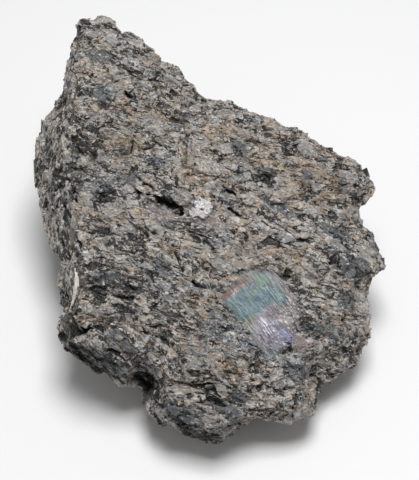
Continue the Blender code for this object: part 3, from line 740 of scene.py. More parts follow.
class Nodes:
    """A new material, and a short way to add its shader nodes and link them."""

    def __init__(self, name):
        self.material = bpy.data.materials.new(name)
        self.material.use_nodes = True
        self.tree = self.material.node_tree
        self.tree.nodes.clear()

    def add(self, kind, inputs=None, **settings):
        """A node with its settings, its inputs linked from sockets or set to values."""
        node = self.tree.nodes.new(kind)
        for key, value in settings.items():
            setattr(node, key, value)
        for key, value in (inputs or {}).items():
            socket = node.inputs[key]
            if isinstance(value, bpy.types.NodeSocket):
                self.tree.links.new(value, socket)
            else:
                socket.default_value = (*value, 1.0) if socket.type == "RGBA" else value
        return node

    def close(self, inputs):
        """Give the material its shader, and return it."""
        shader = self.add("ShaderNodeBsdfPrincipled", inputs)
        self.add("ShaderNodeOutputMaterial", {"Surface": shader.outputs[0]})
        return self.material

    def attribute(self, name, output="Fac"):
        """A value stored on the mesh."""
        return self.add("ShaderNodeAttribute", attribute_name=name).outputs[output]

    def parts(self, vector):
        """The three numbers of a vector."""
        return self.add("ShaderNodeSeparateXYZ", {0: vector}).outputs

    def math(self, operation, first, second=0.0):
        """Arithmetic on two numbers."""
        return self.add("ShaderNodeMath", {0: first, 1: second}, operation=operation).outputs[0]

    def times(self, first, second):
        """The product of two numbers."""
        return self.math("MULTIPLY", first, second)

    def most(self, first, *others):
        """The largest of several numbers."""
        for other in others:
            first = self.math("MAXIMUM", first, other)
        return first

    def total(self, start, *terms):
        """A number plus a share of each value, given as (share, value) or (share, value, middle),
        where the middle is taken off the value first."""
        for share, value, *middle in terms:
            inputs = {0: value, 1: share, 2: -share * sum(middle)}
            shift = self.add("ShaderNodeMath", inputs, operation="MULTIPLY_ADD").outputs[0]
            start = self.math("ADD", shift, start)
        return start

    def vector(self, operation, first, second, output="Vector"):
        """Arithmetic on two vectors."""
        node = self.add("ShaderNodeVectorMath", {0: first, 1: second}, operation=operation)
        return node.outputs[output]

    def mix(self, share, first, second, blend="MIX"):
        """A mix of two colours."""
        inputs = {0: share, 6: first, 7: second}
        return self.add("ShaderNodeMix", inputs, data_type="RGBA", blend_type=blend).outputs[2]

    def tinted(self, colour, tint, share=1.0):
        """A colour multiplied by another."""
        return self.mix(share, colour, tint, "MULTIPLY")

    def ramp(self, value, *stops):
        """A colour ramp with (place, colour) stops."""
        node = self.add("ShaderNodeValToRGB", {0: value})
        elements = node.color_ramp.elements
        while len(elements) < len(stops):
            elements.new(0.5)
        for element, (place, colour) in zip(elements, stops):
            element.position = place
            element.color = (*colour, 1.0)
        return node.outputs[0]

    def step(self, value, low, high):
        """0 below low, 1 above high and a smooth run between."""
        inputs = {0: value, 1: low, 2: high, 3: 0.0, 4: 1.0}
        return self.add("ShaderNodeMapRange", inputs, interpolation_type="SMOOTHSTEP").outputs[0]

    def scaled(self, place, spacing):
        """A place counted in the given spacing along each direction."""
        return self.vector("MULTIPLY", place, tuple(1.0 / size for size in spacing))

    def voronoi(self, space, feature):
        """Cells of size one."""
        return self.add("ShaderNodeTexVoronoi", {"Vector": space, "Scale": 1.0}, feature=feature)

    def noise(self, place, spacing, detail=3.0, roughness=0.6, output="Fac"):
        """Noise with streaks of a size in millimetres."""
        inputs = {"Vector": self.scaled(place, spacing), "Scale": 1.0, "Detail": detail,
                  "Roughness": roughness}
        return self.add("ShaderNodeTexNoise", inputs).outputs[output]

    def soft(self, place, spacing, detail=2.0, output="Fac"):
        """Softer noise of a size in millimetres."""
        return self.noise(place, spacing, detail, 0.5, output)


class Crystals:
    """Crystals of one spacing in a finish: three random numbers of each, its edge and its face."""

    def __init__(self, nodes, place, spacing):
        self.nodes = nodes
        self.space = nodes.scaled(place, spacing)
        self.cells = nodes.voronoi(self.space, "F1").outputs
        numbers = nodes.add("ShaderNodeSeparateColor", {0: self.cells["Color"]}).outputs
        self.tone, self.rise, self.chance = numbers

    def edge(self):
        """How far the border is, against the crystal's size."""
        return self.nodes.voronoi(self.space, "DISTANCE_TO_EDGE").outputs[0]

    def face(self):
        """The height of a flat tilted face on each crystal."""
        offset = self.nodes.vector("SUBTRACT", self.space, self.cells["Position"])
        tilt = self.nodes.vector("SUBTRACT", self.cells["Color"], HALF)
        return self.nodes.vector("DOT_PRODUCT", offset, tilt, "Value")


class RockPattern:
    """What the rock's finish is drawn from: what the mesh stores, streaks and crystals."""

    def __init__(self, nodes):
        grain = nodes.attribute("grain", "Vector")
        place = grain
        for spacing, detail, reach in SWIRLS:
            swirl = nodes.vector("SUBTRACT", nodes.soft(grain, spacing, detail, "Color"), HALF)
            place = nodes.vector("ADD", place, nodes.vector("MULTIPLY", swirl, reach))
        self.place = place
        coarse = nodes.parts(nodes.attribute("coarse", "Vector"))
        self.coarse_tone, coarse_turn, self.coarse_calm = coarse
        self.own_tone, self.own_shine, self.own_stain = nodes.parts(nodes.attribute("own", "Vector"))
        self.side_u, self.side_v, self.sunk = nodes.parts(nodes.attribute("block", "Vector"))
        # The dark and black patches are partly painted shade, and the white ones hold two painted
        # glints
        self.dark = nodes.attribute("dark")
        self.black = nodes.attribute("black")
        self.pale = nodes.attribute("pale")
        self.tan = nodes.attribute("tan")
        self.white = nodes.attribute("white")
        self.hollow = nodes.attribute("hollow")
        angle = nodes.times(nodes.math("SUBTRACT", coarse_turn, 0.5), CRYSTAL_TURN)
        inputs = {"Vector": place, "Axis": (0.0, 0.0, 1.0), "Angle": angle}
        local = nodes.add("ShaderNodeVectorRotate", inputs, rotation_type="AXIS_ANGLE").outputs[0]
        self.streaks = nodes.noise(local, (2.6, 0.30, 0.4))
        self.plates = Crystals(nodes, place, PLATES)
        self.grains = Crystals(nodes, place, GRAINS)
        self.specks = Crystals(nodes, place, SPECKS)
        self.grain_edge = self.grains.edge()
        self.fray = nodes.noise(place, (1.6, 0.6, 0.6), roughness=0.65)
        self.spread = nodes.soft(grain, (6.0, 4.5, 4.5))


def flash_finish(nodes, flash, silk, grit):
    """The colours of the large cleavage face, and how strongly they lie over the rock."""
    down, across, on_face = nodes.parts(nodes.attribute("flash", "Vector"))
    place = nodes.add("ShaderNodeCombineXYZ", {0: down, 1: across}).outputs[0]
    ragged = nodes.noise(place, (5.0, 0.45, 1.0))
    patchy_down, patchy_across, _ = nodes.parts(nodes.noise(place, (2.2, 1.4, 1.0), output="Color"))
    straight = (nodes.total(down, (1.0, ragged, 0.5)), across)
    down = nodes.total(down, (3.2, ragged, 0.5), (3.0, patchy_down, 0.5))
    across = nodes.total(across, (3.6, patchy_across, 0.5))
    colour = flash.base
    for name, middle, half, most in FLASH_ZONES:
        spot = straight if name == "rust" else (down, across)
        reach = nodes.math("SQRT", nodes.math("ADD", *(
            nodes.math("POWER", nodes.math("DIVIDE", nodes.math("SUBTRACT", at, centre), size), 4.0)
            for at, centre, size in zip(spot, middle, half))))
        share = nodes.times(nodes.step(reach, 1.5, 0.6), most)
        # The white zone is a painted highlight, broken up by the silk
        if name == "white":
            share = nodes.times(share, nodes.step(silk, 0.50, 0.60))
        colour = nodes.mix(share, colour, getattr(flash, name))
    colour = nodes.tinted(colour, nodes.ramp(silk, (0.36, grey(0.20)), (0.66, grey(1.72))), 0.9)
    # Bright grit in the granular zone, partly painted glints
    grit_and_glints = nodes.ramp(grit, (0.0, (0.35, 0.35, 0.38)), (0.6, grey(0.85)), (1.0, grey(2.5)))
    granular = nodes.step(nodes.total(0.35, (0.12, down), (0.06, across)), 0.2, 1.0)
    colour = nodes.mix(nodes.times(granular, 0.9), colour, nodes.tinted(colour, grit_and_glints))
    scratches = nodes.step(nodes.noise(place, (6.0, 0.26, 1.0)), 0.57, 0.68)
    colour = nodes.mix(nodes.times(scratches, 0.34), colour, flash.white)
    edge = nodes.total(on_face, (0.30, ragged, 0.5), (0.35, patchy_down, 0.5))
    return colour, nodes.times(nodes.step(edge, 0.44, 0.58), 0.86)


def crystal_greys(nodes, pattern, rock, lift, quiet):
    """The grey of each crystal, even over a calm one."""
    # Hollows and the dark and black patches lower the grey: painted shade there, besides some dark
    # crystals
    own = nodes.total(
        0.42 + lift, (0.38, pattern.coarse_tone, 0.5), (0.24, pattern.own_tone, 0.5),
        (0.28, pattern.plates.tone, 0.5), (0.30, pattern.spread, 0.5), (0.9, pattern.streaks, 0.5),
        (0.22, pattern.pale), (-0.32, pattern.dark), (-0.16, pattern.hollow), (-0.40, pattern.black))
    own = nodes.most(nodes.math("MINIMUM", own, 0.60 + lift), 0.20)
    own = nodes.total(own, (0.07, pattern.pale))
    mottle = nodes.total(
        0.0, (0.42, pattern.grains.tone, 0.5), (0.40, pattern.specks.tone, 0.5),
        (1.2, pattern.streaks, 0.5))
    level = nodes.math("ADD", own, nodes.times(mottle, nodes.total(1.0, (-0.72, quiet))))
    return nodes.ramp(
        level, (0.04, rock.black), (0.30, rock.dark), (0.54, rock.middle), (0.95, rock.light))


def rims_and_gap_shade(nodes, pattern):
    """Where frayed rims and veins run between the crystals, with a painted highlight on ridges and the
    blocks' top edges, and where painted shade falls black in the gaps.
    """
    veins = nodes.math("SUBTRACT", nodes.noise(pattern.place, (4.5, 1.9, 1.9)), 0.5)
    veins = nodes.math("ABSOLUTE", veins)
    sides = (nodes.math("ABSOLUTE", side) for side in (pattern.side_u, pattern.side_v))
    block_edge = nodes.most(*sides)
    # The blocks' top edges and the ridges get a painted highlight
    top_edge_highlight = nodes.times(nodes.step(block_edge, 0.78, 0.94), nodes.step(pattern.sunk, 0.25, 0.05))
    rim = nodes.most(
        nodes.step(pattern.plates.edge(), 0.13, 0.03), nodes.step(veins, 0.036, 0.010),
        nodes.times(nodes.step(pattern.grain_edge, 0.12, 0.04), nodes.step(pattern.spread, 0.50, 0.64)),
        nodes.times(top_edge_highlight, 0.8), nodes.times(nodes.attribute("ridge"), 0.7))
    rim = nodes.times(rim, nodes.step(pattern.fray, 0.44, 0.58))
    border = nodes.total(
        nodes.attribute("border"), (0.5, pattern.fray, 0.5), (0.3, pattern.grains.tone, 0.5))
    broken = nodes.step(nodes.soft(pattern.place, (2.4, 1.6, 1.6), 1.0), 0.40, 0.56)
    outline = nodes.times(nodes.step(border, 0.26, 0.14), broken)
    # Painted shade in the gaps along the coarse crystals' borders
    gap_shade = nodes.times(nodes.step(border, 0.10, 0.02), nodes.step(pattern.spread, 0.62, 0.46))
    return nodes.most(rim, nodes.times(outline, 0.9)), gap_shade


def with_rims(nodes, pattern, colour, rock, rim, stain, quiet):
    """The colour with pale and stained rims, partly a painted highlight on ridges and the blocks' top
    edges, and a warm or cool cast on each plate.
    """
    warm = nodes.total(
        0.46 + 0.3 * stain, (1.0, pattern.spread, 0.5), (0.4, pattern.tan),
        (0.5, pattern.grains.rise, 0.5), (-0.3, pattern.dark), (0.8, pattern.fray, 0.5))
    rim_tone = nodes.mix(nodes.step(warm, 0.50, 0.80), rock.rim, rock.tan)
    rim_tone = nodes.mix(nodes.step(pattern.specks.tone, 0.75, 1.0), rim_tone, rock.umber)
    share = nodes.times(rim, nodes.total(0.85, (-0.20, quiet), (-0.5, pattern.black)))
    cast = nodes.ramp(pattern.plates.chance, (0.0, (0.93, 0.98, 1.05)), (1.0, (1.07, 1.0, 0.93)))
    return nodes.tinted(nodes.mix(share, colour, rim_tone), cast)


def with_stains(nodes, pattern, colour, rock, start, quiet):
    """The colour with flat stains, and where they lie."""
    stained = nodes.total(
        start, (0.9, pattern.fray, 0.2), (0.4, pattern.spread, 0.5), (0.18, pattern.tan),
        (0.20, pattern.own_stain, 0.5), (-0.25, pattern.dark), (0.20, pattern.grains.rise, 0.5))
    stained = nodes.step(stained, 0.38, 0.64)
    stain_tone = nodes.mix(nodes.step(pattern.own_stain, 0.80, 0.95), rock.tan, rock.umber)
    share = nodes.times(stained, nodes.total(0.55, (-0.35, quiet)))
    return nodes.mix(share, colour, stain_tone), stained


def with_patches(nodes, pattern, colour, rock, silver_tone):
    """The colour with its silvery, smooth, white and blue patches and its glints, and where the
    silvery and the smooth ones lie."""
    # Bright specks, partly painted glints, and dark ones
    specks_and_glints = nodes.ramp(
        pattern.specks.rise, (0.0, (0.28, 0.28, 0.31)), (0.6, grey(1.1)), (1.0, grey(2.8)))
    silver = nodes.times(nodes.attribute("silver"), nodes.step(pattern.grains.tone, 0.1, 0.5))
    colour = nodes.mix(nodes.times(silver, 0.85), colour, nodes.tinted(silver_tone, specks_and_glints))
    brushed = nodes.ramp(pattern.streaks, (0.30, grey(0.55)), (0.70, grey(1.6)))
    smooth = 0.0
    for name, tone_of, most in (("pink", rock.pink, 0.7), ("slate", rock.slate, 0.88)):
        share = nodes.total(-0.34, (1.0, nodes.attribute(name)), (0.4, pattern.grains.rise, 0.5))
        share = nodes.step(share, 0.0, 0.22)
        plate = nodes.tinted(nodes.tinted(tone_of, brushed), specks_and_glints, 0.3)
        colour = nodes.mix(nodes.times(share, most), colour, plate)
        smooth = nodes.most(smooth, share)
    grit = nodes.total(0.0, (0.6, pattern.streaks), (0.4, pattern.specks.tone))
    share = nodes.total(-0.5, (1.0, pattern.white), (0.7, pattern.grains.tone, 0.4), (0.5, grit, 0.4))
    share = nodes.step(share, 0.0, 0.2)
    bright = nodes.step(nodes.total(0.0, (0.6, pattern.grains.rise), (0.8, grit)), 0.35, 0.75)
    cleavage = nodes.tinted(nodes.mix(bright, rock.rim, rock.white), specks_and_glints, 0.35)
    colour = nodes.mix(share, colour, cleavage)
    colour = nodes.mix(nodes.times(nodes.attribute("blue"), 0.8), colour, rock.blue)
    glints = nodes.step(nodes.total(pattern.specks.chance, (0.03, pattern.own_shine)), 0.965, 0.985)
    return nodes.mix(nodes.times(glints, 0.75), colour, rock.white), silver, smooth


def painted_crevice_shade(nodes, pattern, lift, gap_shade, rim, silver, smooth):
    """Where black is painted as shade: in the hollows, seams and gaps, on the blocks' sunk sides and
    between grains.
    """
    depth = nodes.noise(pattern.place, (2.3, 0.62, 0.65), roughness=0.55)
    return nodes.step(nodes.total(
        -0.3 * lift, (1.0, depth), (0.12, pattern.hollow), (0.16, nodes.attribute("seam")),
        (0.10, nodes.step(pattern.grain_edge, 0.2, 0.0)), (0.10, pattern.dark),
        (-0.5, pattern.spread, 0.5), (0.18, pattern.black), (0.16, gap_shade), (0.30, pattern.sunk),
        (-0.10, pattern.coarse_tone, 0.5), (-0.08, rim), (-0.12, pattern.white), (-0.08, silver),
        (-0.10, smooth), (-0.06, pattern.pale)), 0.58, 0.66)


def rock_material(name, rock, flash, bump_depth, cement=0.0, stain=0.0, lift=0.0, calm=0.0):
    """The rock's finish: greys that follow the crystals, lamellae, weathering and the flash, with
    painted shade in crevices and clefts and painted highlights on ridges.
    Cement and stain add weathering, lift makes it paler and calm makes each crystal even."""
    nodes = Nodes(name)
    pattern = RockPattern(nodes)
    quiet = nodes.most(nodes.step(pattern.coarse_calm, 0.56, 0.68), calm)
    rim, gap_shade = rims_and_gap_shade(nodes, pattern)
    colour = crystal_greys(nodes, pattern, rock, lift, quiet)
    colour = with_rims(nodes, pattern, colour, rock, rim, stain, quiet)
    colour, stained = with_stains(nodes, pattern, colour, rock, 0.02 * cement + 0.3 * stain, quiet)
    colour, silver, smooth = with_patches(nodes, pattern, colour, rock, flash.silver)

    # The flash over the rock, and painted shade in the crevices and clefts over all
    silk = nodes.noise(nodes.attribute("flash", "Vector"), (2.6, 0.27, 1.0))
    flash_tone, on_flash = flash_finish(nodes, flash, silk, pattern.specks.tone)
    colour = nodes.mix(on_flash, colour, flash_tone)
    crevice_shade = painted_crevice_shade(nodes, pattern, lift, gap_shade, rim, silver, smooth)
    crevice_shade = nodes.times(crevice_shade, nodes.math("SUBTRACT", 1.0, on_flash))
    colour = nodes.mix(nodes.times(crevice_shade, 0.9), colour, rock.black)
    # Painted shade: black over the floor of each cleft
    cleft = nodes.step(nodes.total(nodes.attribute("cleft"), (1.0, pattern.fray, 0.5)), 0.42, 0.80)
    colour = nodes.mix(cleft, colour, rock.black)

    # Dull rock with glassier crystals, and the fine relief of lamellae, grains and crevices
    rough = nodes.total(
        0.42, (0.24, pattern.own_shine, 0.5), (0.24, pattern.grains.chance, 0.5),
        (0.22, stained), (0.15, rim))
    height = nodes.total(
        0.0, (0.4, pattern.specks.rise), (0.6, pattern.grains.rise), (0.9, pattern.streaks),
        (5.0, pattern.grains.face()), (2.2, pattern.specks.face()), (-1.2, crevice_shade),
        (0.8, pattern.fray), (0.6, rim))
    inputs = {0: on_flash, 2: height, 3: nodes.times(silk, 0.8)}
    height = nodes.add("ShaderNodeMix", inputs, data_type="FLOAT").outputs[0]
    bump = nodes.add("ShaderNodeBump", {"Height": height, "Strength": 1.0, "Distance": bump_depth})
    return nodes.close({"Base Color": colour, "Roughness": rough, "Normal": bump.outputs[0]})


def splinter_material(colour):
    """Cream with faint streaks."""
    nodes = Nodes("splinter_finish")
    place = nodes.add("ShaderNodeTexCoord").outputs["Object"]
    streaks = nodes.soft(place, (0.0006, 0.0012, 0.0012))
    shade = nodes.ramp(streaks, (0.3, [0.62 * part for part in colour]), (0.6, colour))
    return nodes.close({"Base Color": shade, "Roughness": 0.55})


def add_piece(context, name, mesh, material):
    """The mesh as a flat-shaded piece of the stone."""
    piece = add_object(context, name, mesh)
    mesh.materials.append(material)
    mesh.polygons.foreach_set("use_smooth", np.zeros(len(mesh.polygons), bool))
    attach(piece, "root")
    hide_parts(NODE)


def add_rock(context, name, mesh, **finish):
    """The mesh as a piece with its own version of the rock's finish."""
    scene = context.scene
    add_piece(context, name, mesh, rock_material(
        name + "_finish", scene.rock_colours, scene.flash_colours, scene.rock_sizes.bump, **finish))


def body_map(points, corners, directions):
    """Where each triangle's corners go on the map: each triangle on the side it faces."""
    facing = directions[corners].mean(axis=1)
    strength = np.stack([facing[:, axis] * sign for axis, sign, _, _, _ in MAP_CHARTS], axis=-1)
    best = strength.argmax(axis=1)
    spots = np.zeros((len(corners), 3, 2))
    for index, (_, _, axes, start, scale) in enumerate(MAP_CHARTS):
        here = best == index
        spots[here] = points[corners[here]][:, :, list(axes)] * scale + np.array(start)
    return spots / MAP_SIDE


def drop_crumbs(mesh):
    """Keep only the largest connected part: thinning out leaves a few loose faces."""
    shape = bmesh.new()
    shape.from_mesh(mesh)
    waiting = set(shape.verts)
    parts = []
    while waiting:
        part = [waiting.pop()]
        for vert in part:
            for edge in vert.link_edges:
                other = edge.other_vert(vert)
                if other in waiting:
                    waiting.remove(other)
                    part.append(other)
        parts.append(part)
    parts.sort(key=len)
    for crumb in parts[:-1]:
        bmesh.ops.delete(shape, geom=crumb, context="VERTS")
    shape.to_mesh(mesh)
    shape.free()
    mesh.update()


class ROCK_OT_body(bpy.types.Operator):
    """Grow the rock's fine surface on the solid and give it its finish"""

    bl_idname = "labradorite.body"
    bl_label = "Rock body"

    def execute(self, context):
        sizes = context.scene.rock_sizes
        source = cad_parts[NODE]
        mesh = source.data.copy()
        mesh.transform(source.matrix_world)
        mesh.materials.clear()
        stone = add_object(context, "rock_source", mesh)
        voxel = sizes.fine_face
        most = TRIANGLES
        apply_modifier(stone, "Even faces", "REMESH", mode="VOXEL", voxel_size=voxel)
        self.displace(stone.data, sizes.relief)
        stone.data.calc_loop_triangles()
        ratio = most / len(stone.data.loop_triangles)
        mesh = apply_modifier(
            stone, "Fewer faces", "DECIMATE", ratio=ratio, use_collapse_triangulate=True)
        bpy.data.objects.remove(stone)
        drop_crumbs(mesh)
        self.store_places(mesh)
        add_rock(context, "rock_body", mesh, cement=1.0)
        return {"FINISHED"}

    def displace(self, mesh, relief):
        """Stand crystals of several sizes in and out, and open the cracks."""
        points = read_points(mesh)
        normals = read_list(mesh.vertex_normals, "vector", 3)
        sight = to_sight(points)
        grain = grain_places(sight)
        places = wobbled(grain)
        upper = face_up(normals)
        flash = faded(flash_places(sight)[:, 2], 3.0, -1.2) * upper
        chance, coarse, border = crystals_at(places, COARSE)
        smooth = np.where(chance[:, 8] > CALM_ABOVE, CALM_RELIEF, 1.0)
        height = COARSE[2] * coarse + LEDGES[2] * crystals_at(places, LEDGES)[1]
        for kind in (MEDIUM, FINE):
            height += kind[2] * smooth * crystals_at(places, kind)[1]
        spread = faded(soft_noise(places, *SEAM_SPREAD), 3.0)
        seam = faded(border / SEAM_REACH, -1.0, 1.6) * spread
        height = (height - SEAM_DEPTH * seam) * relief * (1.0 - FLASH_FLATNESS * flash)
        height -= cleft_strength(sight)[0] * upper
        height *= faded(points[:, 2] / REST_HEIGHT)
        moved = points + normals * height[:, None]
        moved[:, 2] = np.maximum(moved[:, 2], 0.0)
        mesh.vertices.foreach_set("co", (moved * MM).ravel())
        mesh.update()
        add_attribute(mesh, "grain", grain)
        # The seams are kept for the painted shade in them
        add_attribute(mesh, "seam", seam * (1.0 - flash))
        add_attribute(mesh, "border", border)
        add_marks(mesh, sight, normals)

    def store_places(self, mesh):
        """Keep which crystal each face belongs to, and how hollow the surface is."""
        points = read_points(mesh)
        normals = read_list(mesh.vertex_normals, "vector", 3)
        ends = read_list(mesh.edges, "vertices", 2, np.int32)
        places = wobbled(over_faces(mesh, read_vectors(mesh, "grain")))
        add_attribute(mesh, "coarse", crystals_at(places, COARSE)[0][:, 6:9], "FACE")
        add_attribute(mesh, "own", crystals_at(places, MEDIUM)[0][:, 6:9], "FACE")
        # How hollow each point is, for placing blocks and for the painted shade in hollows
        hollow = ((relaxed(points, ends, HOLLOW_ROUNDS) - points) * normals).sum(axis=1)
        add_attribute(mesh, "hollow", np.clip(hollow / HOLLOW_DEPTH, -1.0, 1.0))
        # How far each point stands proud, for the painted highlight on ridges
        ridge = ((points - relaxed(points, ends, RIDGE_ROUNDS)) * normals).sum(axis=1)
        add_attribute(mesh, "ridge", faded(ridge / RIDGE_HEIGHT))
        directions = unit(relaxed(normals, ends, FACING_ROUNDS))
        add_attribute(mesh, "facing", directions)
        add_map(mesh, body_map(points, triangle_corners(mesh), directions))


class Scatter:
    """Spots scattered over the rock body, with the crystal and the direction of each."""

    def __init__(self, mesh, count, seed, keep):
        self.random = np.random.default_rng(seed)
        corners = triangle_corners(mesh)
        points = read_points(mesh)
        first, second, third = (points[corners[:, c]] for c in range(3))
        area = np.linalg.norm(np.cross(second - first, third - first), axis=1)
        weight = area * keep(mesh)
        picked = corners[self.random.choice(len(corners), count, p=weight / weight.sum())]
        shares = self.random.dirichlet((1.0, 1.0, 1.0), count)[:, :, None]
        self.points = (points[picked] * shares).sum(axis=1)
        self.normals = unit((read_vectors(mesh, "facing")[picked] * shares).sum(axis=1))
        grain = (read_vectors(mesh, "grain")[picked] * shares).sum(axis=1)
        self.coarse = crystals_at(wobbled(grain), COARSE)[0]
        hollow = read_numbers(mesh, "hollow")[picked].mean(axis=1)
        self.evenness = 1.0 - EDGE_SHRINK * np.abs(hollow)
        self.box = points.min(axis=0), points.max(axis=0)
        self.count = count

    def frames(self, loose):
        """Along the grain, across it and off the surface, leaning as each crystal's cleavage."""
        turn, _ = zones(to_sight(self.points))
        turn = turn + (self.coarse[:, 7] - 0.5) * CRYSTAL_TURN
        turn = turn + self.random.normal(0.0, BLOCK_TURN, self.count)
        along = np.tile(unit(np.array(GRAIN_DIRECTION)), (self.count, 1))
        along = turned(along, turn) @ sight_axes()
        lean = (self.coarse[:, 3:6] - 0.5) * CRYSTAL_LEAN
        lean = lean + self.random.normal(0.0, loose, (self.count, 3))
        off = unit(self.normals + lean)
        along = unit(along - (along * off).sum(axis=1, keepdims=True) * off)
        return np.stack([along, np.cross(off, along), off], axis=1)


def joined_blocks(spots, length_mm, spread, width, thickness, proud, loose):
    """One mesh of many small cleavage blocks, sunk into the surface at the spots."""
    random = spots.random
    count = spots.count
    frames = spots.frames(loose)
    size = length_mm * np.exp(random.normal(0.0, spread, count)).clip(*BLOCK_SIZES) / 2.0
    size *= spots.evenness
    half = np.stack([size, size * width * random.uniform(*BLOCK_WIDTHS, count),
                     size * thickness * random.uniform(*BLOCK_THICKNESSES, count)], axis=-1)
    corners = np.tile(BLOCK, (count, 1, 1))
    corners[:, :, :2] *= random.uniform(*BLOCK_CORNERS, (count, 8, 2))
    corners[:, 4:, :2] *= random.uniform(*BLOCK_TOPS, (count, 1, 2))
    corners[:, :, 0] += random.normal(0.0, BLOCK_SHEAR, (count, 1)) * corners[:, :, 1]
    slope = random.normal(0.0, BLOCK_SLOPE, (count, 1, 2))
    corners[:, 4:, 2] += (corners[:, 4:, :2] * slope).sum(axis=2)
    corners *= half[:, None, :]
    rise = proud * random.uniform(*BLOCK_RISES, count)
    corners[:, :, 2] += (rise - half[:, 2])[:, None]
    points = np.einsum("nij,njk->nik", corners, frames) + spots.points[:, None, :]
    points = np.clip(points, *spots.box)
    points[:, :, 2] = np.maximum(points[:, :, 2], 0.0)
    faces = (BLOCK_FACES[None] + 8 * np.arange(count)[:, None, None]).reshape(-1, 3)
    mesh = bpy.data.meshes.new("blocks")
    mesh.from_pydata((points.reshape(-1, 3) * MM).tolist(), [], faces.tolist())
    sight = to_sight(points.reshape(-1, 3))
    add_grain(mesh, sight)
    add_marks(mesh, sight, np.repeat(spots.normals, 8, axis=0))
    # Where each corner lies on its block; the lower, sunk corners get painted shade
    add_attribute(mesh, "block", np.tile(BLOCK * (1.0, 1.0, -0.5) + (0.0, 0.0, 0.5), (count, 1)))
    own = random.uniform(0.0, 1.0, (count, 3))
    for name, values in (("coarse", spots.coarse[:, 6:9]), ("own", own)):
        add_attribute(mesh, name, np.repeat(values, len(BLOCK_FACES), axis=0), "FACE")
    inset = np.where(BLOCK[:, 2:] < 0.0, BLOCK_LOWER, BLOCK_UPPER) * BLOCK[:, :2] + 0.5
    add_square_maps(mesh, count, inset[BLOCK_FACES])
    return mesh


def open_share(mesh):
    """How much of each face small blocks may cover: little of the base, no flash or clefts."""
    cleft, white, hollow = (over_faces(mesh, read_numbers(mesh, name))
                            for name in ("cleft", "white", "hollow"))
    flash = faded(over_faces(mesh, read_vectors(mesh, "flash"))[:, 2], 4.0, -1.2)
    closed = np.max([flash, faded(cleft, 3.0), 0.7 * white], axis=0)
    facing = over_faces(mesh, read_vectors(mesh, "facing"))
    heights = over_faces(mesh, read_points(mesh))[:, 2]
    base = np.where(facing[:, 2] < -0.75, SPARSE, 1.0) * faded(heights / 0.8)
    calm = read_vectors(mesh, "coarse")[:, 2] > CALM_ABOVE
    flat = np.clip(1.1 + hollow, 0.05, 1.0)
    return base * (1.0 - closed) * np.where(calm, SPARSE, 1.0) * flat


def broad_share(mesh):
    """Where the surface is fairly even, so that a broad crystal's ends don't stand out."""
    hollow = over_faces(mesh, read_numbers(mesh, "hollow"))
    return open_share(mesh) * faded(np.abs(hollow), -3.0, 1.3)


def face_share(mesh):
    """The broad face."""
    return open_share(mesh) * (0.02 + face_up(over_faces(mesh, read_vectors(mesh, "facing"))))


def side_share(mesh):
    """The walls and the back."""
    return open_share(mesh) * (1.02 - face_up(over_faces(mesh, read_vectors(mesh, "facing"))))


def stained_share(mesh):
    """Mostly the stained patches, and clumps elsewhere."""
    grain = over_faces(mesh, read_vectors(mesh, "grain"))
    clumps = faded(soft_noise(grain, *FLAKE_CLUMPS), start=0.35)
    tan = over_faces(mesh, read_numbers(mesh, "tan"))
    return open_share(mesh) * (0.35 * clumps + 0.8 * tan + 0.03)


def lay_blocks(context, name, kind, keep, loose, **finish):
    """Scatter one kind of small block over the rock, as one piece."""
    count, seed, *sizes = kind
    spots = Scatter(bpy.data.objects["rock_body"].data, count, seed, keep)
    add_rock(context, name, joined_blocks(spots, *sizes, loose), **finish)


class Surface:
    """The rock's surface, found along the line of sight."""

    def __init__(self):
        mesh = bpy.data.objects["rock_body"].data
        points = to_sight(read_points(mesh))
        self.tree = BVHTree.FromPolygons(points.tolist(), triangle_corners(mesh).tolist())

    def under(self, line):
        """The spots (u, v, n) of the surface under a line of (u, v), and its directions."""
        found = [self.tree.ray_cast((u, v, ABOVE_ALL), (0.0, 0.0, -1.0)) for u, v in line]
        if any(hit[0] is None for hit in found):
            return None, None
        return np.array([hit[0] for hit in found]), np.array([hit[1] for hit in found])


def smoothed(spots, rounds):
    """A line of spots with its inner ones drawn between their neighbours."""
    for _ in range(rounds):
        spots[1:-1] = (spots[:-2] + 2.0 * spots[1:-1] + spots[2:]) / 4.0
    return spots


def sliver(spots, facing, half_width, height):
    """The points of a thin sliver along spots of the surface: a low ridge, pointed at its ends."""
    spots = smoothed(spots, 2)
    facing = unit(facing + 2.0 * facing.mean(axis=0))
    side = unit(np.cross(facing, np.gradient(spots, axis=0)))
    swell = np.sin(np.linspace(SLIVER_TIP, math.pi - SLIVER_TIP, len(spots)))[:, None] ** 0.7
    left = spots - side * half_width * swell - facing * height * SLIVER_SINK
    top = spots + facing * height * swell
    right = spots + side * half_width * swell - facing * height * SLIVER_SINK
    return np.stack([left, top, right], axis=1).reshape(-1, 3)


def sliver_faces(count):
    """The triangles of one sliver with so many cross sections."""
    faces = [(0, 1, 2), (3 * count - 3, 3 * count - 1, 3 * count - 2)]
    for row in range(0, 3 * count - 3, 3):
        for first, second in ((0, 1), (1, 2), (2, 0)):
            faces.append((row + first, row + first + 3, row + second + 3))
            faces.append((row + first, row + second + 3, row + second))
    return np.array(faces)


def slivers_mesh(name, slivers, count):
    """One mesh of slivers given in the sight frame, each with its own square on the map."""
    sight = np.concatenate(slivers)
    points = sight @ sight_axes() + np.array(SIGHT_ORIGIN)
    shape = sliver_faces(count)
    starts = 3 * count * np.arange(len(slivers))
    faces = (shape[None] + starts[:, None, None]).reshape(-1, 3)
    mesh = bpy.data.meshes.new(name)
    mesh.from_pydata((points * MM).tolist(), [], faces.tolist())
    corners = [(step / (count - 1), corner / 2.0) for step in range(count) for corner in range(3)]
    add_square_maps(mesh, len(slivers), 0.1 + 0.8 * np.array(corners)[shape])
    return mesh, sight


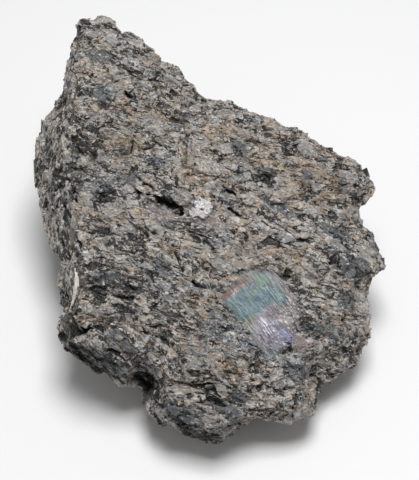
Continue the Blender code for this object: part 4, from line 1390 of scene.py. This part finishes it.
class ROCK_OT_crystals(bpy.types.Operator):
    """Cover the rock with small cleavage blocks"""

    bl_idname = "labradorite.crystals"
    bl_label = "Cleavage blocks"

    def execute(self, context):
        keeps = (broad_share, face_share, side_share, open_share)
        for (name, kind), keep in zip(CRYSTALS.items(), keeps):
            calm = 0.7 if name == "broad_crystals" else 0.0
            lay_blocks(context, name, kind, keep, BLOCK_LOOSE, calm=calm)
        return {"FINISHED"}


class ROCK_OT_flakes(bpy.types.Operator):
    """Lay thin weathered flakes along the grain"""

    bl_idname = "labradorite.flakes"
    bl_label = "Weathered flakes"

    def execute(self, context):
        lay_blocks(context, "weathered_flakes", FLAKES, stained_share, FLAKE_LOOSE, stain=1.0)
        return {"FINISHED"}


class ROCK_OT_lamellae(bpy.types.Operator):
    """Lay rows of long thin lamellae on the surface"""

    bl_idname = "labradorite.lamellae"
    bl_label = "Long lamellae"

    def execute(self, context):
        random = np.random.default_rng(LAMELLA_SEED)
        surface = Surface()
        slivers = []
        for start, end, count, spread, half_width in LAMELLAE:
            start = np.array(start)
            run = np.array(end) - start
            across = np.array((-run[1], run[0])) / np.linalg.norm(run)
            for _ in range(count):
                line = self.line(random, start, run, across, spread)
                spots, facing = surface.under(line)
                width = half_width * random.uniform(*LAMELLA_WIDTHS)
                if spots is None or np.ptp(np.diff(spots[:, 2])) > LAMELLA_STEEPEST:
                    continue
                height = LAMELLA_HEIGHT * random.uniform(*LAMELLA_HEIGHTS)
                slivers.append(sliver(spots, facing, width, height))
        mesh, sight = slivers_mesh("lamellae", slivers, LAMELLA_SECTIONS)
        add_grain(mesh, sight)
        add_marks(mesh, sight, np.tile(sight_axes()[2], (len(sight), 1)))
        repeats = len(sliver_faces(LAMELLA_SECTIONS))
        for name in ("coarse", "own"):
            values = random.uniform(0.0, 1.0, (len(slivers), 3))
            add_attribute(mesh, name, np.repeat(values, repeats, axis=0), "FACE")
        add_rock(context, "long_lamellae", mesh, lift=0.34, calm=0.7)
        return {"FINISHED"}

    def line(self, random, start, run, across, spread):
        """The line of one lamella in its row, slightly bent."""
        share = random.uniform(*LAMELLA_SHARES)
        first = random.uniform(0.0, 1.0 - share)
        aside = across * random.normal(0.0, 0.5 * spread, (2, 1))
        aside[1] = aside[0] + LAMELLA_SPLAY * (aside[1] - aside[0])
        ends = start + run * np.array([[first], [first + share]]) + aside
        shares = np.linspace(0.0, 1.0, LAMELLA_SECTIONS)[:, None]
        bend = across * random.normal(0.0, LAMELLA_BEND) * np.sin(math.pi * shares)
        return ends[0] + (ends[1] - ends[0]) * shares + bend


class ROCK_OT_splinter(bpy.types.Operator):
    """Lay the long pale splinter at the left edge"""

    bl_idname = "labradorite.splinter"
    bl_label = "Pale splinter"

    def execute(self, context):
        knots = np.array(SPLINTER_LINE)
        steps = np.linspace(0.0, len(knots) - 1.0, SPLINTER_SECTIONS)
        line = np.stack([np.interp(steps, range(len(knots)), knots[:, c]) for c in (0, 1)], axis=-1)
        spots, facing = Surface().under(line)
        if spots is None:
            raise RuntimeError("the splinter runs off the rock")
        spots = smoothed(spots, 6)
        spots[:, 2] += SPLINTER_LIFT
        ridge = sliver(spots, facing, SPLINTER_HALF_WIDTH, SPLINTER_HEIGHT)
        mesh, _ = slivers_mesh("splinter", [ridge], SPLINTER_SECTIONS)
        material = splinter_material(context.scene.rock_colours.splinter)
        add_piece(context, "pale_splinter", mesh, material)
        return {"FINISHED"}


class ROCK_OT_stage(bpy.types.Operator):
    """Set the pale floor, the soft light and the camera"""

    bl_idname = "labradorite.stage"
    bl_label = "Stage"

    def execute(self, context):
        settings = context.scene.stage_settings
        self.lay_floor(context, settings)
        self.hang_lights(context, settings)
        self.aim_camera(context, settings)
        return {"FINISHED"}

    def lay_floor(self, context, settings):
        """A wide pale floor."""
        mesh = bpy.data.meshes.new("floor")
        shape = bmesh.new()
        bmesh.ops.create_grid(shape, x_segments=1, y_segments=1, size=FLOOR_HALF)
        shape.to_mesh(mesh)
        shape.free()
        floor = add_object(context, "floor", mesh)
        finish = {"Base Color": settings.floor, "Roughness": 0.7}
        mesh.materials.append(Nodes("pale_floor").close(finish))

    def hang_lights(self, context, settings):
        """A softbox overhead and an even fill."""
        lamp = bpy.data.lights.new("softbox", "AREA")
        lamp.shape = "SQUARE"
        lamp.size = settings.key_size
        lamp.energy = settings.key_power
        light = add_object(context, "softbox", lamp)
        toward = Vector(KEY_DIRECTION).normalized()
        light.location = toward * KEY_DISTANCE
        light.rotation_euler = toward.to_track_quat("Z", "Y").to_euler()
        world = bpy.data.worlds.new("studio")
        world.use_nodes = True
        sky = world.node_tree.nodes["Background"]
        sky.inputs["Color"].default_value = (1.0, 1.0, 1.0, 1.0)
        sky.inputs["Strength"].default_value = settings.fill
        context.scene.world = world
        context.scene.view_settings.view_transform = "Standard"

    def aim_camera(self, context, settings):
        """A long lens along the line of sight."""
        camera = bpy.data.cameras.new("camera")
        camera.lens = settings.lens
        viewer = add_object(context, "camera", camera)
        off_face = Vector(sight_axes()[2])
        viewer.location = Vector(SIGHT_ORIGIN) * MM + off_face * settings.camera_distance
        viewer.rotation_euler = off_face.to_track_quat("Z", "Y").to_euler()
        context.scene.camera = viewer


class ROCK_PT_panel(bpy.types.Panel):
    """Lists the settings and the pieces of the stone"""

    bl_label = "Labradorite"
    bl_idname = "ROCK_PT_panel"
    bl_space_type = "VIEW_3D"
    bl_region_type = "UI"
    bl_category = "Labradorite"

    def draw(self, context):
        for name, group in GROUPS.items():
            box = self.layout.box()
            for key in group.__annotations__:
                box.prop(getattr(context.scene, name), key)
        for operator in PIECES:
            self.layout.operator(operator.bl_idname)


GROUPS = {
    "rock_sizes": RockSizes,
    "rock_colours": RockColours,
    "flash_colours": FlashColours,
    "stage_settings": StageSettings,
}
PIECES = (ROCK_OT_body, ROCK_OT_crystals, ROCK_OT_flakes, ROCK_OT_lamellae, ROCK_OT_splinter,
          ROCK_OT_stage)


def register():
    """Add the settings, the operators and the panel."""
    for group in GROUPS.values():
        bpy.utils.register_class(group)
    for name, group in GROUPS.items():
        setattr(bpy.types.Scene, name, bpy.props.PointerProperty(type=group))
    for operator in PIECES:
        bpy.utils.register_class(operator)
    bpy.utils.register_class(ROCK_PT_panel)


def unregister():
    """Remove them again."""
    bpy.utils.unregister_class(ROCK_PT_panel)
    for operator in reversed(PIECES):
        bpy.utils.unregister_class(operator)
    for name, group in GROUPS.items():
        delattr(bpy.types.Scene, name)
        bpy.utils.unregister_class(group)


def main():
    """Build every piece in order."""
    register()
    bpy.ops.labradorite.body()
    bpy.ops.labradorite.crystals()
    bpy.ops.labradorite.flakes()
    bpy.ops.labradorite.lamellae()
    bpy.ops.labradorite.splinter()
    bpy.ops.labradorite.stage()


if __name__ == "__main__":
    main()
